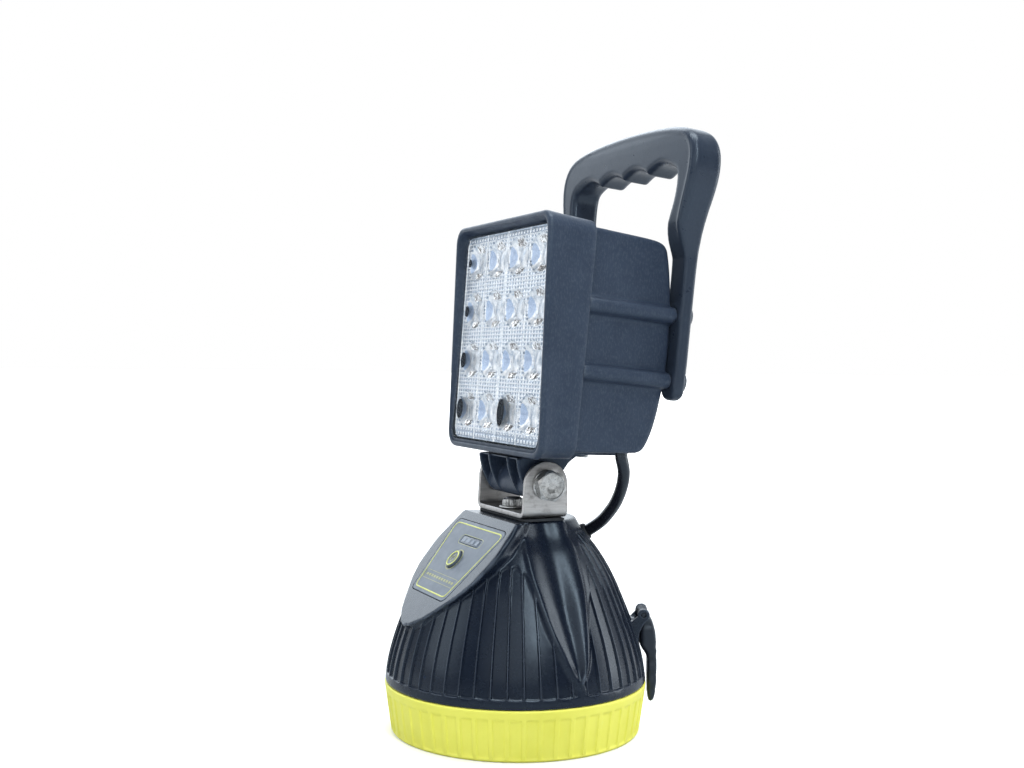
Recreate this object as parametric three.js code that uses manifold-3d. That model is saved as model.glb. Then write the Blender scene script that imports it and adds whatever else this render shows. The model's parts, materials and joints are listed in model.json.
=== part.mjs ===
// Cordless LED work light: battery base, swivel U-bracket and a square flood head with a handle.
// Millimetres, +Z up. Origin: centre of the base on the floor. The lamp and the control panel
// face -Y, so the back is +Y and +X is to the right of someone facing the lamp.
import * as THREE from 'three';
import { mergeVertices } from 'three/addons/utils/BufferGeometryUtils.js';
import Module from 'manifold-3d';

const wasm = await Module();
wasm.setup();

const DEG = Math.PI / 180;

// ---------------------------------------------------------------- driving dimensions
const RING_H = 23.5; // bumper ring
const RING_R_INNER = 56.0;
const RING_R_BOTTOM = 58.8;
const RING_R_TOP = 62.2;
const SKIRT_R = 55.6; // shell skirt inside the ring
const WALL = 2.6; // shell wall
const DECK_Z = 101; // flat top of the base
const PANEL_ORIGIN = [0, -37.6, 75]; // point on the sloping panel plane
const PANEL_TILT = 48.0; // degrees about X
const BUTTON_Y = 8.9; // button and window, measured up the panel slope
const BUTTON_HOLE_R = 5.0;
const WINDOW_Y = 19.9;
const PORT_ANGLE = -25; // charging port, degrees about Z from +Y
const PORT = [0, 46]; // (x, z) of the port axis in the port frame
const FLAP_HINGE = [60.5, 55.3]; // (y, z) in the port frame
const CABLE_R = 2.9;
const SWIVEL = [0, -1.5]; // (x, y) of the vertical swivel axis
const HINGE = [2.6, 118]; // (y, z) of the tilt hinge
const BOLT_HOLE_R = 4.3; // clearance for the swivel and hinge bolts
const EAR_X = 27.4; // outer face of the bracket ears
const EAR_T = 2.6; // bracket sheet thickness
const EAR_R = 10.9;
const HEAD_Y = 9.3; // head frame origin
const HEAD_Z = 184.6;
const HEAD_TILT = 5.6; // lean-back, degrees
const BEZEL_SIZE = 110;
const BEZEL_BACK_SIZE = 107.2;
const LENS_SIZE = 102.8; // also the outer size of the gasket
const RIB_R = 3.75; // side ribs that hold the long screws
const CUP_PITCH = 24.4; // reflector cups and LEDs, four by four

// Screw and cell centres
const BASE_SCREWS = [90, 210, 330].map((angle) => [
  43.5 * Math.cos(angle * DEG),
  43.5 * Math.sin(angle * DEG),
]); // (x, y)
const CELLS = [-1, 1].flatMap((i) => [-1, 1].map((j) => [i * 9.9, j * 9.9])); // (x, y)
const HEAD_SCREWS = [-50.3, 50.3].flatMap((x) => [15.9, -14.1].map((z) => [x, z])); // (x, z)
const FOOT_SCREWS = [[-16, 22], [16, 22]]; // (x, y), head frame

// ---------------------------------------------------------------- helpers
// Welds a closed geometry, drops collapsed triangles and turns its faces outward.
function solid(geometry) {
  geometry.deleteAttribute('normal');
  geometry.deleteAttribute('uv');
  const welded = mergeVertices(geometry, 1e-4);
  const positions = welded.attributes.position;
  const index = welded.index.array;
  const corners = [0, 1, 2].map(() => new THREE.Vector3());
  const triangles = [];
  let volume = 0;
  for (let i = 0; i < index.length; i += 3) {
    const [a, b, c] = index.slice(i, i + 3);
    if (a === b || b === c || a === c) continue;
    triangles.push(a, b, c);
    corners.forEach((corner, k) => corner.fromBufferAttribute(positions, index[i + k]));
    volume += corners[0].dot(corners[1].cross(corners[2]));
  }
  if (volume < 0) triangles.reverse();
  return new wasm.Manifold(new wasm.Mesh({
    numProp: 3,
    vertProperties: new Float32Array(positions.array),
    triVerts: new Uint32Array(triangles),
  }));
}

const union = (...parts) => parts.reduce((body, part) => body.add(part));
const cut = (body, ...tools) => tools.reduce((rest, tool) => rest.subtract(tool), body);

function box([x0, x1], [y0, y1], [z0, z1]) {
  const geometry = new THREE.BoxGeometry(x1 - x0, y1 - y0, z1 - z0);
  geometry.translate((x0 + x1) / 2, (y0 + y1) / 2, (z0 + z1) / 2);
  return solid(geometry);
}

// Extrudes a closed outline along an axis: 'z' takes (x, y), 'x' takes (y, z), 'y' takes (x, z).
function prism(outline, axis, from, to) {
  const shape = new THREE.Shape(outline.map((point) => new THREE.Vector2(...point)));
  const geometry = new THREE.ExtrudeGeometry(shape, {
    depth: to - from,
    bevelEnabled: false,
    steps: 1,
  });
  geometry.translate(0, 0, from);
  const turn = new THREE.Matrix4();
  if (axis === 'x') turn.set(0, 0, 1, 0, 1, 0, 0, 0, 0, 1, 0, 0, 0, 0, 0, 1);
  if (axis === 'y') turn.set(1, 0, 0, 0, 0, 0, 1, 0, 0, 1, 0, 0, 0, 0, 0, 1);
  return solid(geometry.applyMatrix4(turn));
}

function circle(radius, segments, [x, y] = [0, 0], phase = 0) {
  return Array.from({ length: segments }, (_, i) => {
    const angle = phase + (i / segments) * 2 * Math.PI;
    return [x + radius * Math.cos(angle), y + radius * Math.sin(angle)];
  });
}

// The centre holds the same two coordinates as a prism outline along that axis.
function rod(axis, radius, from, to, centre = [0, 0], segments = 24, phase = 0) {
  return prism(circle(radius, segments, centre, phase), axis, from, to);
}

function rods(axis, radius, from, to, centres, segments) {
  return union(...centres.map((centre) => rod(axis, radius, from, to, centre, segments)));
}

function roundedRect(width, height, radius, centreY = 0, arcSteps = 4) {
  const x = width / 2 - radius;
  const y = height / 2 - radius;
  return [[x, y], [-x, y], [-x, -y], [x, -y]].flatMap(([cornerX, cornerY], quarter) =>
    Array.from({ length: arcSteps + 1 }, (_, i) => {
      const angle = 90 * (quarter + i / arcSteps) * DEG;
      return [
        cornerX + radius * Math.cos(angle),
        centreY + cornerY + radius * Math.sin(angle),
      ];
    }));
}

const roundedSquare = (size, radius) => roundedRect(size, size, radius);

// Solid of revolution about Z from an (r, z) profile.
function lathe(profile, segments = 48, y = 0) {
  const points = profile.map((point) => new THREE.Vector2(...point));
  const geometry = new THREE.LatheGeometry(points, segments);
  geometry.rotateX(Math.PI / 2);
  geometry.translate(0, y, 0);
  return solid(geometry);
}

// Frustum along Y between two (x, z) outlines with the same number of points.
function loft(front, frontY, back, backY) {
  const count = front.length;
  const positions = [
    ...front.flatMap(([x, z]) => [x, frontY, z]),
    ...back.flatMap(([x, z]) => [x, backY, z]),
  ];
  const index = [];
  for (let i = 0; i < count; i++) {
    const j = (i + 1) % count;
    index.push(i, j, count + j, i, count + j, count + i);
  }
  for (let i = 1; i < count - 1; i++) {
    index.push(0, i + 1, i, count, count + i, count + i + 1);
  }
  const geometry = new THREE.BufferGeometry();
  geometry.setAttribute('position', new THREE.Float32BufferAttribute(positions, 3));
  geometry.setIndex(index);
  return solid(geometry);
}

// Range between two distances from the centre plane, on the -X or +X side.
const sideSpan = (side, near, far) => (side > 0 ? [near, far] : [-far, -near]);
const mirrored = (points) => points.map(([x, z]) => [-x, z]).reverse();
const placed = (group, part) => part.transform(group.matrix.toArray());

function addGroup(parent) {
  const group = new THREE.Group();
  parent.add(group);
  return group;
}

// ---------------------------------------------------------------- materials
const MATERIALS = {
  base_plastic: { color: 0x1b212b, roughness: 0.38 },
  ring_rubber: { color: 0xd9e34a, roughness: 0.55 },
  head_paint: { color: 0x39414c, roughness: 0.5, metalness: 0.2 },
  handle_plastic: { color: 0x303743, roughness: 0.5 },
  black_rubber: { color: 0x16181c, roughness: 0.8 },
  stainless: { color: 0x9a9c9e, roughness: 0.35, metalness: 1 },
  zinc: { color: 0xa9adb0, roughness: 0.3, metalness: 1 },
  clear_lens: { color: 0xd4e0ea, roughness: 0.08, transparent: true, opacity: 0.4 },
  reflector_chrome: { color: 0xc9ced4, roughness: 0.12, metalness: 1 },
  pcb: { color: 0x1f5a3a, roughness: 0.5 },
  aluminium: { color: 0xd0d4d6, roughness: 0.4, metalness: 1 },
  led_package: { color: 0xf0e7a0, roughness: 0.4 },
  panel_film: { color: 0x4a5666, roughness: 0.35 },
  indicator_clear: { color: 0xc9d3dd, roughness: 0.2 },
  cell_wrap: { color: 0x2c6ca8, roughness: 0.4 },
  tray_plastic: { color: 0x2a2d31, roughness: 0.6 },
  cable_jacket: { color: 0x1c1e24, roughness: 0.45 },
  cover_rubber: { color: 0x3a4048, roughness: 0.6 },
};

function addPiece(parent, name, part, material) {
  const { vertProperties, triVerts } = part.getMesh();
  const geometry = new THREE.BufferGeometry();
  geometry.setAttribute('position', new THREE.Float32BufferAttribute(vertProperties, 3));
  geometry.setIndex(new THREE.Uint32BufferAttribute(triVerts, 1));
  geometry.computeVertexNormals();
  const finish = new THREE.MeshStandardMaterial({ name: material, ...MATERIALS[material] });
  const mesh = new THREE.Mesh(geometry, finish);
  mesh.name = name;
  parent.add(mesh);
}

// ---------------------------------------------------------------- groups
const workLight = new THREE.Group();
workLight.name = 'work_light';
const base = addGroup(workLight);
const panel = addGroup(base); // x across, y up the slope, z out of the panel
panel.position.set(...PANEL_ORIGIN);
panel.rotation.x = PANEL_TILT * DEG;
panel.updateMatrix();
const port = addGroup(base); // x tangential, y outward, z up
port.rotation.z = PORT_ANGLE * DEG;
port.updateMatrix();
const button = addGroup(panel);
const flap = addGroup(port);
const yoke = addGroup(workLight);
const head = addGroup(workLight); // x right, y backward, z up, before the lean-back
head.position.set(0, HEAD_Y, HEAD_Z);
head.rotation.x = -HEAD_TILT * DEG;

// ---------------------------------------------------------------- cable route
// Centre line (x, y, z) from the head down into the base
const CABLE_PATH = [
  [38, 36.2, 138], [38, 35.7, 134], [37.9, 35.7, 130.6], [37.4, 36.9, 127],
  [36.3, 38, 123.6], [34.3, 38.8, 119.6], [31.5, 39.4, 115.6], [28, 39.9, 111.6],
  [23.5, 40.3, 107.3], [18.5, 40.1, 103], [12.8, 39.0, 98.2], [7.2, 35.5, 93.63],
  [3.2, 30.67, 90.02], [1.4, 28.5, 88.4],
].map((point) => new THREE.Vector3(...point));
const CABLE_ENTRY = new THREE.Vector3(9.6, 38.4, 95.8); // just outside the shell
const GROMMET_CENTRE = new THREE.Vector3(5.2, 33.09, 91.83);

// Turns a part built along +Z to run into the base with the cable.
function alongCableEntry(part, origin) {
  const direction = CABLE_PATH.at(-1).clone().sub(CABLE_ENTRY).normalize();
  const turn = new THREE.Quaternion().setFromUnitVectors(new THREE.Vector3(0, 0, 1), direction);
  const matrix = new THREE.Matrix4().makeRotationFromQuaternion(turn).setPosition(origin);
  return part.transform(matrix.toArray());
}

// ---------------------------------------------------------------- base shell
// Outside of the dome, (r, z)
const DOME = [
  [62.0, 23.9], [61.8, 26], [60.7, 33.5], [58.9, 41], [56.4, 49], [53.5, 56.5], [50.4, 64],
  [46.9, 72], [42.8, 79.5], [37.8, 87], [31.2, 95], [28.4, 99.6], [27.2, DECK_Z],
];
// Forward bulge that carries the panel, (r, z) about an axis at BULGE_Y
const BULGE = [
  [0, 52], [44.5, 52], [46.3, 60], [45.9, 68], [44.6, 76],
  [41.8, 86], [37.4, 94], [31.8, DECK_Z], [0, DECK_Z],
];
const BULGE_Y = -7;
const BULGE_LIMIT = [
  [-62, 52], [-7, 52], [-2, 60], [-2, DECK_Z + 1], [-62, DECK_Z + 1],
]; // (y, z)
// Side buttresses, (y, z)
const BUTTRESS = [
  [-9.5, DECK_Z + 1], [-9.5, 99], [-2.5, 62], [0.5, 36],
  [3.2, 36], [5.5, 62], [9.8, 99], [9.8, DECK_Z + 1],
];
const BUTTRESS_RISE = 1.2; // how far they stand out from the dome
const CAVITY_R = 53.2; // straight part of the cavity
const CAVITY_TOP = 97.2;
const POST_BOTTOM = 6.2;

// Panel film outline grown by an offset, with quadratic corners.
function labelOutline(grow) {
  const top = 29.9 + grow;
  const bottom = -11.9 - grow;
  const halfTop = 30.0 + grow;
  const halfBottom = 20.4 + grow;
  const cornerRadius = 4.5;
  const corners = [
    [halfBottom, bottom], [halfTop, top], [-halfTop, top], [-halfBottom, bottom],
  ].map((point) => new THREE.Vector2(...point));
  return corners.flatMap((corner, i) => {
    const toLast = corners[(i + 3) % 4].clone().sub(corner).normalize();
    const toNext = corners[(i + 1) % 4].clone().sub(corner).normalize();
    const setback = cornerRadius / Math.tan(Math.acos(toLast.dot(toNext)) / 2);
    const start = corner.clone().addScaledVector(toLast, setback);
    const end = corner.clone().addScaledVector(toNext, setback);
    const curve = new THREE.QuadraticBezierCurve(start, corner, end);
    return curve.getPoints(4).map((point) => point.toArray());
  });
}

// Cutters for the button and the indicator window, shared by the shell and the film.
const panelOpenings = (from, to) => union(
  rod('z', BUTTON_HOLE_R, from, to, [0, BUTTON_Y], 32),
  prism(roundedRect(21.6, 4.6, 1.2, WINDOW_Y), 'z', from, to),
);

function shellOuter() {
  const dome = lathe([
    [0, 3], [SKIRT_R, 3], [SKIRT_R, DOME[0][1]], ...DOME, [0, DECK_Z],
  ]);
  const bulge = lathe(BULGE, 48, BULGE_Y).intersect(prism(BULGE_LIMIT, 'x', -60, 60));
  const raised = DOME.filter(([, z]) => z > 30).map(([r, z]) => [r + BUTTRESS_RISE, z]);
  const buttresses = lathe([[0, 30], ...raised, [0, DECK_Z]])
    .intersect(prism(BUTTRESS, 'x', -80, 80));
  const portBoss = placed(port, rod('y', 6.5, 45, 58.5, PORT, 32));
  const abovePanel = placed(panel, box([-90, 90], [-120, 120], [0, 90]));
  return union(dome, bulge, buttresses, portBoss).subtract(abovePanel);
}

function baseShell() {
  const domeInside = DOME.filter(([, z]) => z > 28 && z < 97)
    .map(([r, z]) => [r - WALL - 0.5, z]);
  const behindPanel = placed(panel, box([-90, 90], [-120, 120], [-WALL - 0.9, 90]));
  const cavity = lathe([
    [0, 1], [CAVITY_R, 1], [CAVITY_R, 26], ...domeInside, [26, CAVITY_TOP], [0, CAVITY_TOP],
  ]).subtract(behindPanel);

  // Screw posts hang from the dome; their limit reaches 1.2 into its wall.
  const postLimit = lathe([
    [0, POST_BOTTOM], [54, POST_BOTTOM], [54, 26],
    ...domeInside.map(([r, z]) => [r + 1.2, z]), [0, 96],
  ]);
  const posts = rods('z', 4.6, POST_BOTTOM, 70, BASE_SCREWS, 20).intersect(postLimit);

  let shell = cut(
    shellOuter().subtract(cavity).add(posts),
    rods('z', 1.9, 4, 26, BASE_SCREWS, 16),
    rod('z', BOLT_HOLE_R, 90, 110, SWIVEL, 32),
    placed(panel, prism(labelOutline(0.3), 'z', -0.9, 2)),
    placed(panel, panelOpenings(-8, 2)),
    placed(port, rod('y', 4.6, 40, 62, PORT, 32)),
    alongCableEntry(rod('z', 4.6, 1, 23), CABLE_ENTRY),
  );
  // Two lugs that carry the flap
  for (const side of [-1, 1]) {
    const [x0, x1] = sideSpan(side, 6.3, 8.3);
    const eye = rod('x', 2.9, x0, x1, FLAP_HINGE, 20);
    const arm = box([x0, x1], [52, FLAP_HINGE[0]], [52.6, 58]);
    shell = shell.add(placed(port, eye.add(arm)));
  }
  return shell.subtract(placed(port, rod('x', 1.35, -8.6, 8.6, FLAP_HINGE, 16)));
}
addPiece(base, 'base_shell', baseShell(), 'base_plastic');

// ---------------------------------------------------------------- underside of the base
addPiece(base, 'base_ring', lathe([
  [RING_R_INNER, 0], [RING_R_BOTTOM - 0.8, 0], [RING_R_BOTTOM, 0.8],
  [RING_R_TOP, RING_H - 1], [RING_R_TOP - 0.6, RING_H], [RING_R_INNER, RING_H],
  [RING_R_INNER, 0],
]), 'ring_rubber');

addPiece(base, 'foot_pad', lathe([
  [0, 0], [49.6, 0], [50, 0.4], [50, 1.9], [0, 1.9],
], 40), 'black_rubber');

addPiece(base, 'bottom_plate', cut(
  lathe([[0, 2.0], [53.0, 2.0], [53.0, 5.6], [0, 5.6]], 40),
  rods('z', 1.9, 0, 8, BASE_SCREWS, 16),
  rods('z', 3.6, 0, 4.0, BASE_SCREWS, 20), // head recesses
), 'tray_plastic');

BASE_SCREWS.forEach((centre, i) => addPiece(base, `bottom_screw_${i + 1}`, union(
  rod('z', 3.3, 2.05, 3.9, centre, 16),
  rod('z', 1.6, 3.8, 20, centre, 12),
), 'zinc'));

// ---------------------------------------------------------------- battery pack
addPiece(base, 'battery_tray', cut(
  prism(roundedSquare(43, 4), 'z', 5.9, 18),
  rods('z', 9.5, 8.6, 20, CELLS, 28),
), 'tray_plastic');

CELLS.forEach((centre, i) => addPiece(base, `battery_cell_${i + 1}`, union(
  rod('z', 9.2, 8.8, 73.2, centre, 28),
  rod('z', 3.4, 73, 74, centre, 16), // end terminal
), 'cell_wrap'));

// ---------------------------------------------------------------- control panel
addPiece(panel, 'control_board', box([-18, 18], [-8.5, 17.6], [-10.8, -9.2]), 'pcb');

addPiece(panel, 'tact_switch', union(
  box([-3, 3], [BUTTON_Y - 3, BUTTON_Y + 3], [-9.1, -6.6]),
  rod('z', 1.6, -6.7, -5.6, [0, BUTTON_Y], 16),
), 'black_rubber');

addPiece(panel, 'panel_label', cut(
  prism(labelOutline(0), 'z', -0.6, 0.1),
  panelOpenings(-3, 3),
), 'panel_film');

addPiece(button, 'power_button', union(
  rod('z', 4.7, -1.9, 1.3, [0, BUTTON_Y], 32),
  rod('z', 3.0, -3.4, -1.8, [0, BUTTON_Y], 20),
  rod('z', 1.4, -4.6, -3.3, [0, BUTTON_Y], 12),
), 'base_plastic');

// Window bar, the flange behind it and the neck that joins them
addPiece(panel, 'indicator_window', union(
  prism(roundedRect(21.0, 4.0, 1.0, WINDOW_Y), 'z', -3.2, 0.2),
  box([-12.6, 12.6], [WINDOW_Y - 3, WINDOW_Y + 3], [-4.9, -3.7]),
  box([-9, 9], [WINDOW_Y - 1.3, WINDOW_Y + 1.3], [-3.9, -3.1]),
), 'indicator_clear');

// ---------------------------------------------------------------- charging port
addPiece(port, 'charge_socket', cut(
  rod('y', 4.3, 44.5, 55.4, PORT, 28),
  rod('y', 2.75, 46.5, 56, PORT, 20),
), 'black_rubber');

// Side profiles of the flap, (y, z)
const FLAP_CAP = [
  [59.4, 53.8], [62.6, 55.2], [64.6, 52.6], [66.2, 48.2], [67, 41.5],
  [67.0, 36], [62.7, 36], [60.0, 38.6], [59.1, 40.4], [59.1, 51.8],
];
const FLAP_TAB = [
  [62.8, 37], [67.0, 37], [67.2, 26], [66.6, 17.5], [65.4, 14],
  [64.2, 13.2], [63.2, 14.2], [62.9, 18], [62.8, 27],
];
addPiece(flap, 'port_cover', union(
  rod('x', 2.6, -5.9, 5.9, FLAP_HINGE, 20), // knuckle
  rod('x', 1.05, -7.6, 7.6, FLAP_HINGE, 12), // hinge pin
  prism(FLAP_CAP, 'x', -5.9, 5.9),
  prism(FLAP_TAB, 'x', -5.2, 5.2),
  rod('y', 3.5, 57.0, 60, PORT, 20), // spigot
), 'cover_rubber');

// ---------------------------------------------------------------- deck fittings and cable
addPiece(base, 'bracket_pad', cut(
  box([-26.5, 26.5], [-8.2, 12.7], [DECK_Z + 0.1, 102.3]),
  rod('z', BOLT_HOLE_R, 99, 104, SWIVEL, 32),
), 'black_rubber');

addPiece(base, 'pan_bolt', union(
  rod('z', 6.6, 92.4, 97.0, SWIVEL, 6), // hexagon head inside the base
  rod('z', 3.95, 96.9, 109.9, SWIVEL, 24),
), 'zinc');

addPiece(base, 'cable_grommet', alongCableEntry(cut(
  rod('z', 4.3, -3.2, 4.2),
  rod('z', 3.55, -6, 6, [0, 0], 20),
), GROMMET_CENTRE), 'black_rubber');

function powerCable() {
  const section = new THREE.Shape(circle(CABLE_R, 10).map(([x, y]) => new THREE.Vector2(x, y)));
  return solid(new THREE.ExtrudeGeometry(section, {
    steps: 22,
    bevelEnabled: false,
    extrudePath: new THREE.CatmullRomCurve3(CABLE_PATH),
  }));
}
addPiece(base, 'power_cable', powerCable(), 'cable_jacket');

// ---------------------------------------------------------------- yoke
function uBracket() {
  const front = -8.5;
  const back = 13.1;
  const bottom = 102.5;
  const floor = bottom + EAR_T;
  const arch = Array.from({ length: 21 }, (_, i) => {
    const angle = (i / 20) * Math.PI;
    return [HINGE[0] + EAR_R * Math.cos(angle), HINGE[1] + EAR_R * Math.sin(angle)];
  });
  const ear = [
    [front, bottom], [back, bottom], [back, bottom + 4], ...arch, [front, bottom + 4],
  ];
  const innerX = EAR_X - EAR_T;
  return cut(
    prism(ear, 'x', -EAR_X, EAR_X),
    box([-innerX, innerX], [-40, 40], [floor, 160]),
    rod('x', BOLT_HOLE_R, -40, 40, HINGE),
    rod('z', BOLT_HOLE_R, 100, 110, SWIVEL),
  );
}
addPiece(yoke, 'u_bracket', uBracket(), 'stainless');

addPiece(yoke, 'pan_nut', cut(
  union(rod('z', 7.0, 105.2, 106.2, SWIVEL, 28), rod('z', 5.8, 106.1, 109.2, SWIVEL, 6)),
  rod('z', 4.12, 100, 112, SWIVEL, 20),
), 'zinc');

addPiece(yoke, 'hinge_bolt', union(
  rod('x', 7.5, 27.5, 32.8, HINGE, 6, 12 * DEG),
  rod('x', 3.9, -36.6, 27.6, HINGE),
), 'zinc');

addPiece(yoke, 'hinge_nut', cut(
  union(rod('x', 7.5, -33.4, -27.5, HINGE, 6, 5 * DEG), rod('x', 5.8, -35.4, -33.3, HINGE)),
  rod('x', 4.05, -40, -20, HINGE, 20),
), 'zinc');

for (const [side, name] of [[-1, 'left'], [1, 'right']]) {
  addPiece(yoke, `hinge_washer_${name}`, cut(
    rod('x', 6.0, ...sideSpan(side, 23.7, 24.7), HINGE),
    rod('x', 4.1, -30, 30, HINGE, 20),
  ), 'black_rubber');
}

// ---------------------------------------------------------------- head: bezel and housing
function headBezel() {
  // The front edge slopes so that the top forms a hood: (y, z) of what is cut away.
  const slope = [[-25, 60], [-18, -60], [-40, -60], [-40, 60]];
  return cut(
    loft(
      roundedRect(BEZEL_SIZE, BEZEL_SIZE, 8, 0, 5), -26,
      roundedRect(BEZEL_BACK_SIZE, BEZEL_BACK_SIZE, 7.5, 0, 5), 0,
    ),
    prism(slope, 'x', -70, 70),
    prism(roundedSquare(98.4, 5), 'y', -40, 10), // light opening
    prism(roundedSquare(103.4, 4), 'y', -17.9, 10), // seat for lens and gasket
    rods('y', 1.3, -9, 3, HEAD_SCREWS, 12),
  );
}
addPiece(head, 'head_bezel', headBezel(), 'head_paint');

// Side profiles of the housing, (y, z)
const HOUSING_SIDE = [
  [-6.2, 50.6], [0, 50.6], [31.7, 49.2], [36.5, 48.2], [38.8, 46.3], [39.9, 43.5],
  [42.0, 34], [43.9, 20], [44.6, 5], [44.6, -8], [43.2, -21], [41.8, -30.5],
  [40, -38], [37.4, -44.6], [35.4, -47.2], [32, -48.3], [0, -50.3], [-6.2, -50.4],
];
const HOUSING_CAVITY = [
  [-8, 47.6], [31, 46.2], [36, 44.6], [39.4, 33], [41.2, 19], [41.8, 5], [41.8, -8],
  [40.4, -21], [39, -30], [37, -38], [33.4, -45], [0, -47.3], [-8, -47.4],
];
const FIN_PITCH = 9;
const FIN_HALF_T = 0.9;

function headHousing() {
  // Plan view narrows from the front to y = 46.
  const taper = (frontHalf, backHalf, front) => prism([
    [-frontHalf, front], [frontHalf, front], [backHalf, 46], [-backHalf, 46],
  ], 'z', -60, 60);
  const cavitySide = prism(HOUSING_CAVITY, 'x', -52, 52);
  const housing = cut(
    prism(HOUSING_SIDE, 'x', -52, 52)
      .intersect(taper(50.3, 46.6, -6.2))
      .add(rods('y', RIB_R, 0.5, 44.4, HEAD_SCREWS, 20)),
    cavitySide.intersect(taper(46.2, 43.4, -8)),
    rods('y', 1.75, -20, 50, HEAD_SCREWS, 14),
    rod('z', 3.6, -60, -40, [38, 31.4], 20), // cable hole
    rods('z', 1.8, -60, -40, FOOT_SCREWS, 14),
  );
  // Cooling fins between the handle legs
  const fins = [-3, -2, -1, 0, 1, 2, 3].map((i) => {
    const x = i * FIN_PITCH;
    return box([x - FIN_HALF_T, x + FIN_HALF_T], [38, 49.4], [-30, 30]).subtract(cavitySide);
  });
  return union(housing, ...fins);
}
addPiece(head, 'head_housing', headHousing(), 'head_paint');

// ---------------------------------------------------------------- head: optics and electronics
addPiece(head, 'lens_cover', prism(roundedSquare(LENS_SIZE, 3.6), 'y', -17.6, -15.0),
  'clear_lens');

addPiece(head, 'lens_gasket', cut(
  prism(roundedSquare(LENS_SIZE, 3.6), 'y', -14.7, -12.9),
  prism(roundedSquare(96.8, 3), 'y', -20, 0),
), 'black_rubber');

// Four by four (x, z) centres, row by row from the top left
const LED_CENTRES = [1.5, 0.5, -0.5, -1.5].flatMap((row) =>
  [-1.5, -0.5, 0.5, 1.5].map((column) => [column * CUP_PITCH, row * CUP_PITCH]));

// Conical reflector cup, wide mouth towards the lens
function cup([x, z]) {
  const backR = 3.2;
  const mouthR = 8.2;
  return solid(new THREE.CylinderGeometry(backR, mouthR, 15, 16, 1).translate(x, -5.7, z));
}
addPiece(head, 'reflector', cut(
  prism(roundedRect(90.6, 92.6, 3), 'y', -12.5, 1.3),
  ...LED_CENTRES.map(cup),
), 'reflector_chrome');

addPiece(head, 'led_board', box([-44.6, 44.6], [2.9, 4.5], [-45.8, 45.8]), 'aluminium');

const LED_HALF = 1.75;
LED_CENTRES.forEach(([x, z], i) => addPiece(
  head,
  `led_${String(i + 1).padStart(2, '0')}`,
  box([x - LED_HALF, x + LED_HALF], [1.6, 2.8], [z - LED_HALF, z + LED_HALF]),
  'led_package',
));

addPiece(head, 'driver_board', union(
  box([-28, 28], [22, 23.6], [-26, 26]),
  box([-12, 12], [23.5, 32], [-14, 10]), // component block
), 'pcb');

// ---------------------------------------------------------------- head: handle
// Right half of the outside, (x, z), from the leg end up to the top centre
const HANDLE_OUTER = [
  [43.4, -17.5], [44.4, -20.5], [46.6, -22.4], [50, -23.1], [53.4, -22.4], [55.6, -20.5],
  [56.5, -17.5], [56.5, 40], [57.4, 49], [59.6, 59], [62.6, 69], [65, 77.5], [66, 84.5],
  [65.4, 91], [62.6, 96.4], [58, 100.3], [50, 103], [38, 104.8], [20, 106.1], [0, 106.5],
];
// Right half of the opening, (x, z), up to the grip
const HANDLE_INNER = [
  [43.4, -60], [43.4, 44], [44.6, 52], [47.6, 61], [50.6, 70], [51.6, 77], [50.8, 81.5],
];
// Finger scallops under the grip: [centre x, half width]
const SCALLOPS = [[36.5, 12.222], [12, 12], [-12, 12], [-36.5, 12.222]];
// Side profile, (y, z)
const HANDLE_SIDE = [
  [45.0, -30], [51.3, -30], [51.3, 50], [52.3, 60], [53.8, 72], [54.0, 82], [53.4, 98],
  [51.6, 104], [48.4, 110], [42, 110], [39.4, 104], [38, 98], [38, 60], [38.8, 56],
  [41.2, 50], [43.8, 45], [45.0, 41],
];

function handle() {
  const scallops = SCALLOPS.flatMap(([centre, halfWidth]) =>
    Array.from({ length: 9 }, (_, i) => [
      centre + halfWidth * (1 - i / 4),
      83.2 + 3.4 * Math.sin((Math.PI * i) / 8),
    ]));
  const outer = [...HANDLE_OUTER, ...mirrored(HANDLE_OUTER.slice(0, -1))];
  const inner = [...HANDLE_INNER, ...scallops, ...mirrored(HANDLE_INNER)];
  const hoop = cut(prism(outer, 'y', 30, 60), prism(inner, 'y', 20, 70))
    .intersect(prism(HANDLE_SIDE, 'x', -80, 80));
  return cut(
    hoop.add(rods('y', 5.2, 45.0, 52.4, HEAD_SCREWS, 20)),
    rods('y', 2.0, 40, 60, HEAD_SCREWS, 14),
    rods('y', 3.7, 49.4, 60, HEAD_SCREWS, 20), // head recesses
  );
}
addPiece(head, 'handle', handle(), 'handle_plastic');

HEAD_SCREWS.forEach((centre, i) => addPiece(head, `handle_screw_${i + 1}`, union(
  rod('y', 3.4, 49.5, 51.9, centre, 18),
  rod('y', 1.4, 2.9, 49.6, centre, 12),
), 'zinc'));

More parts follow.
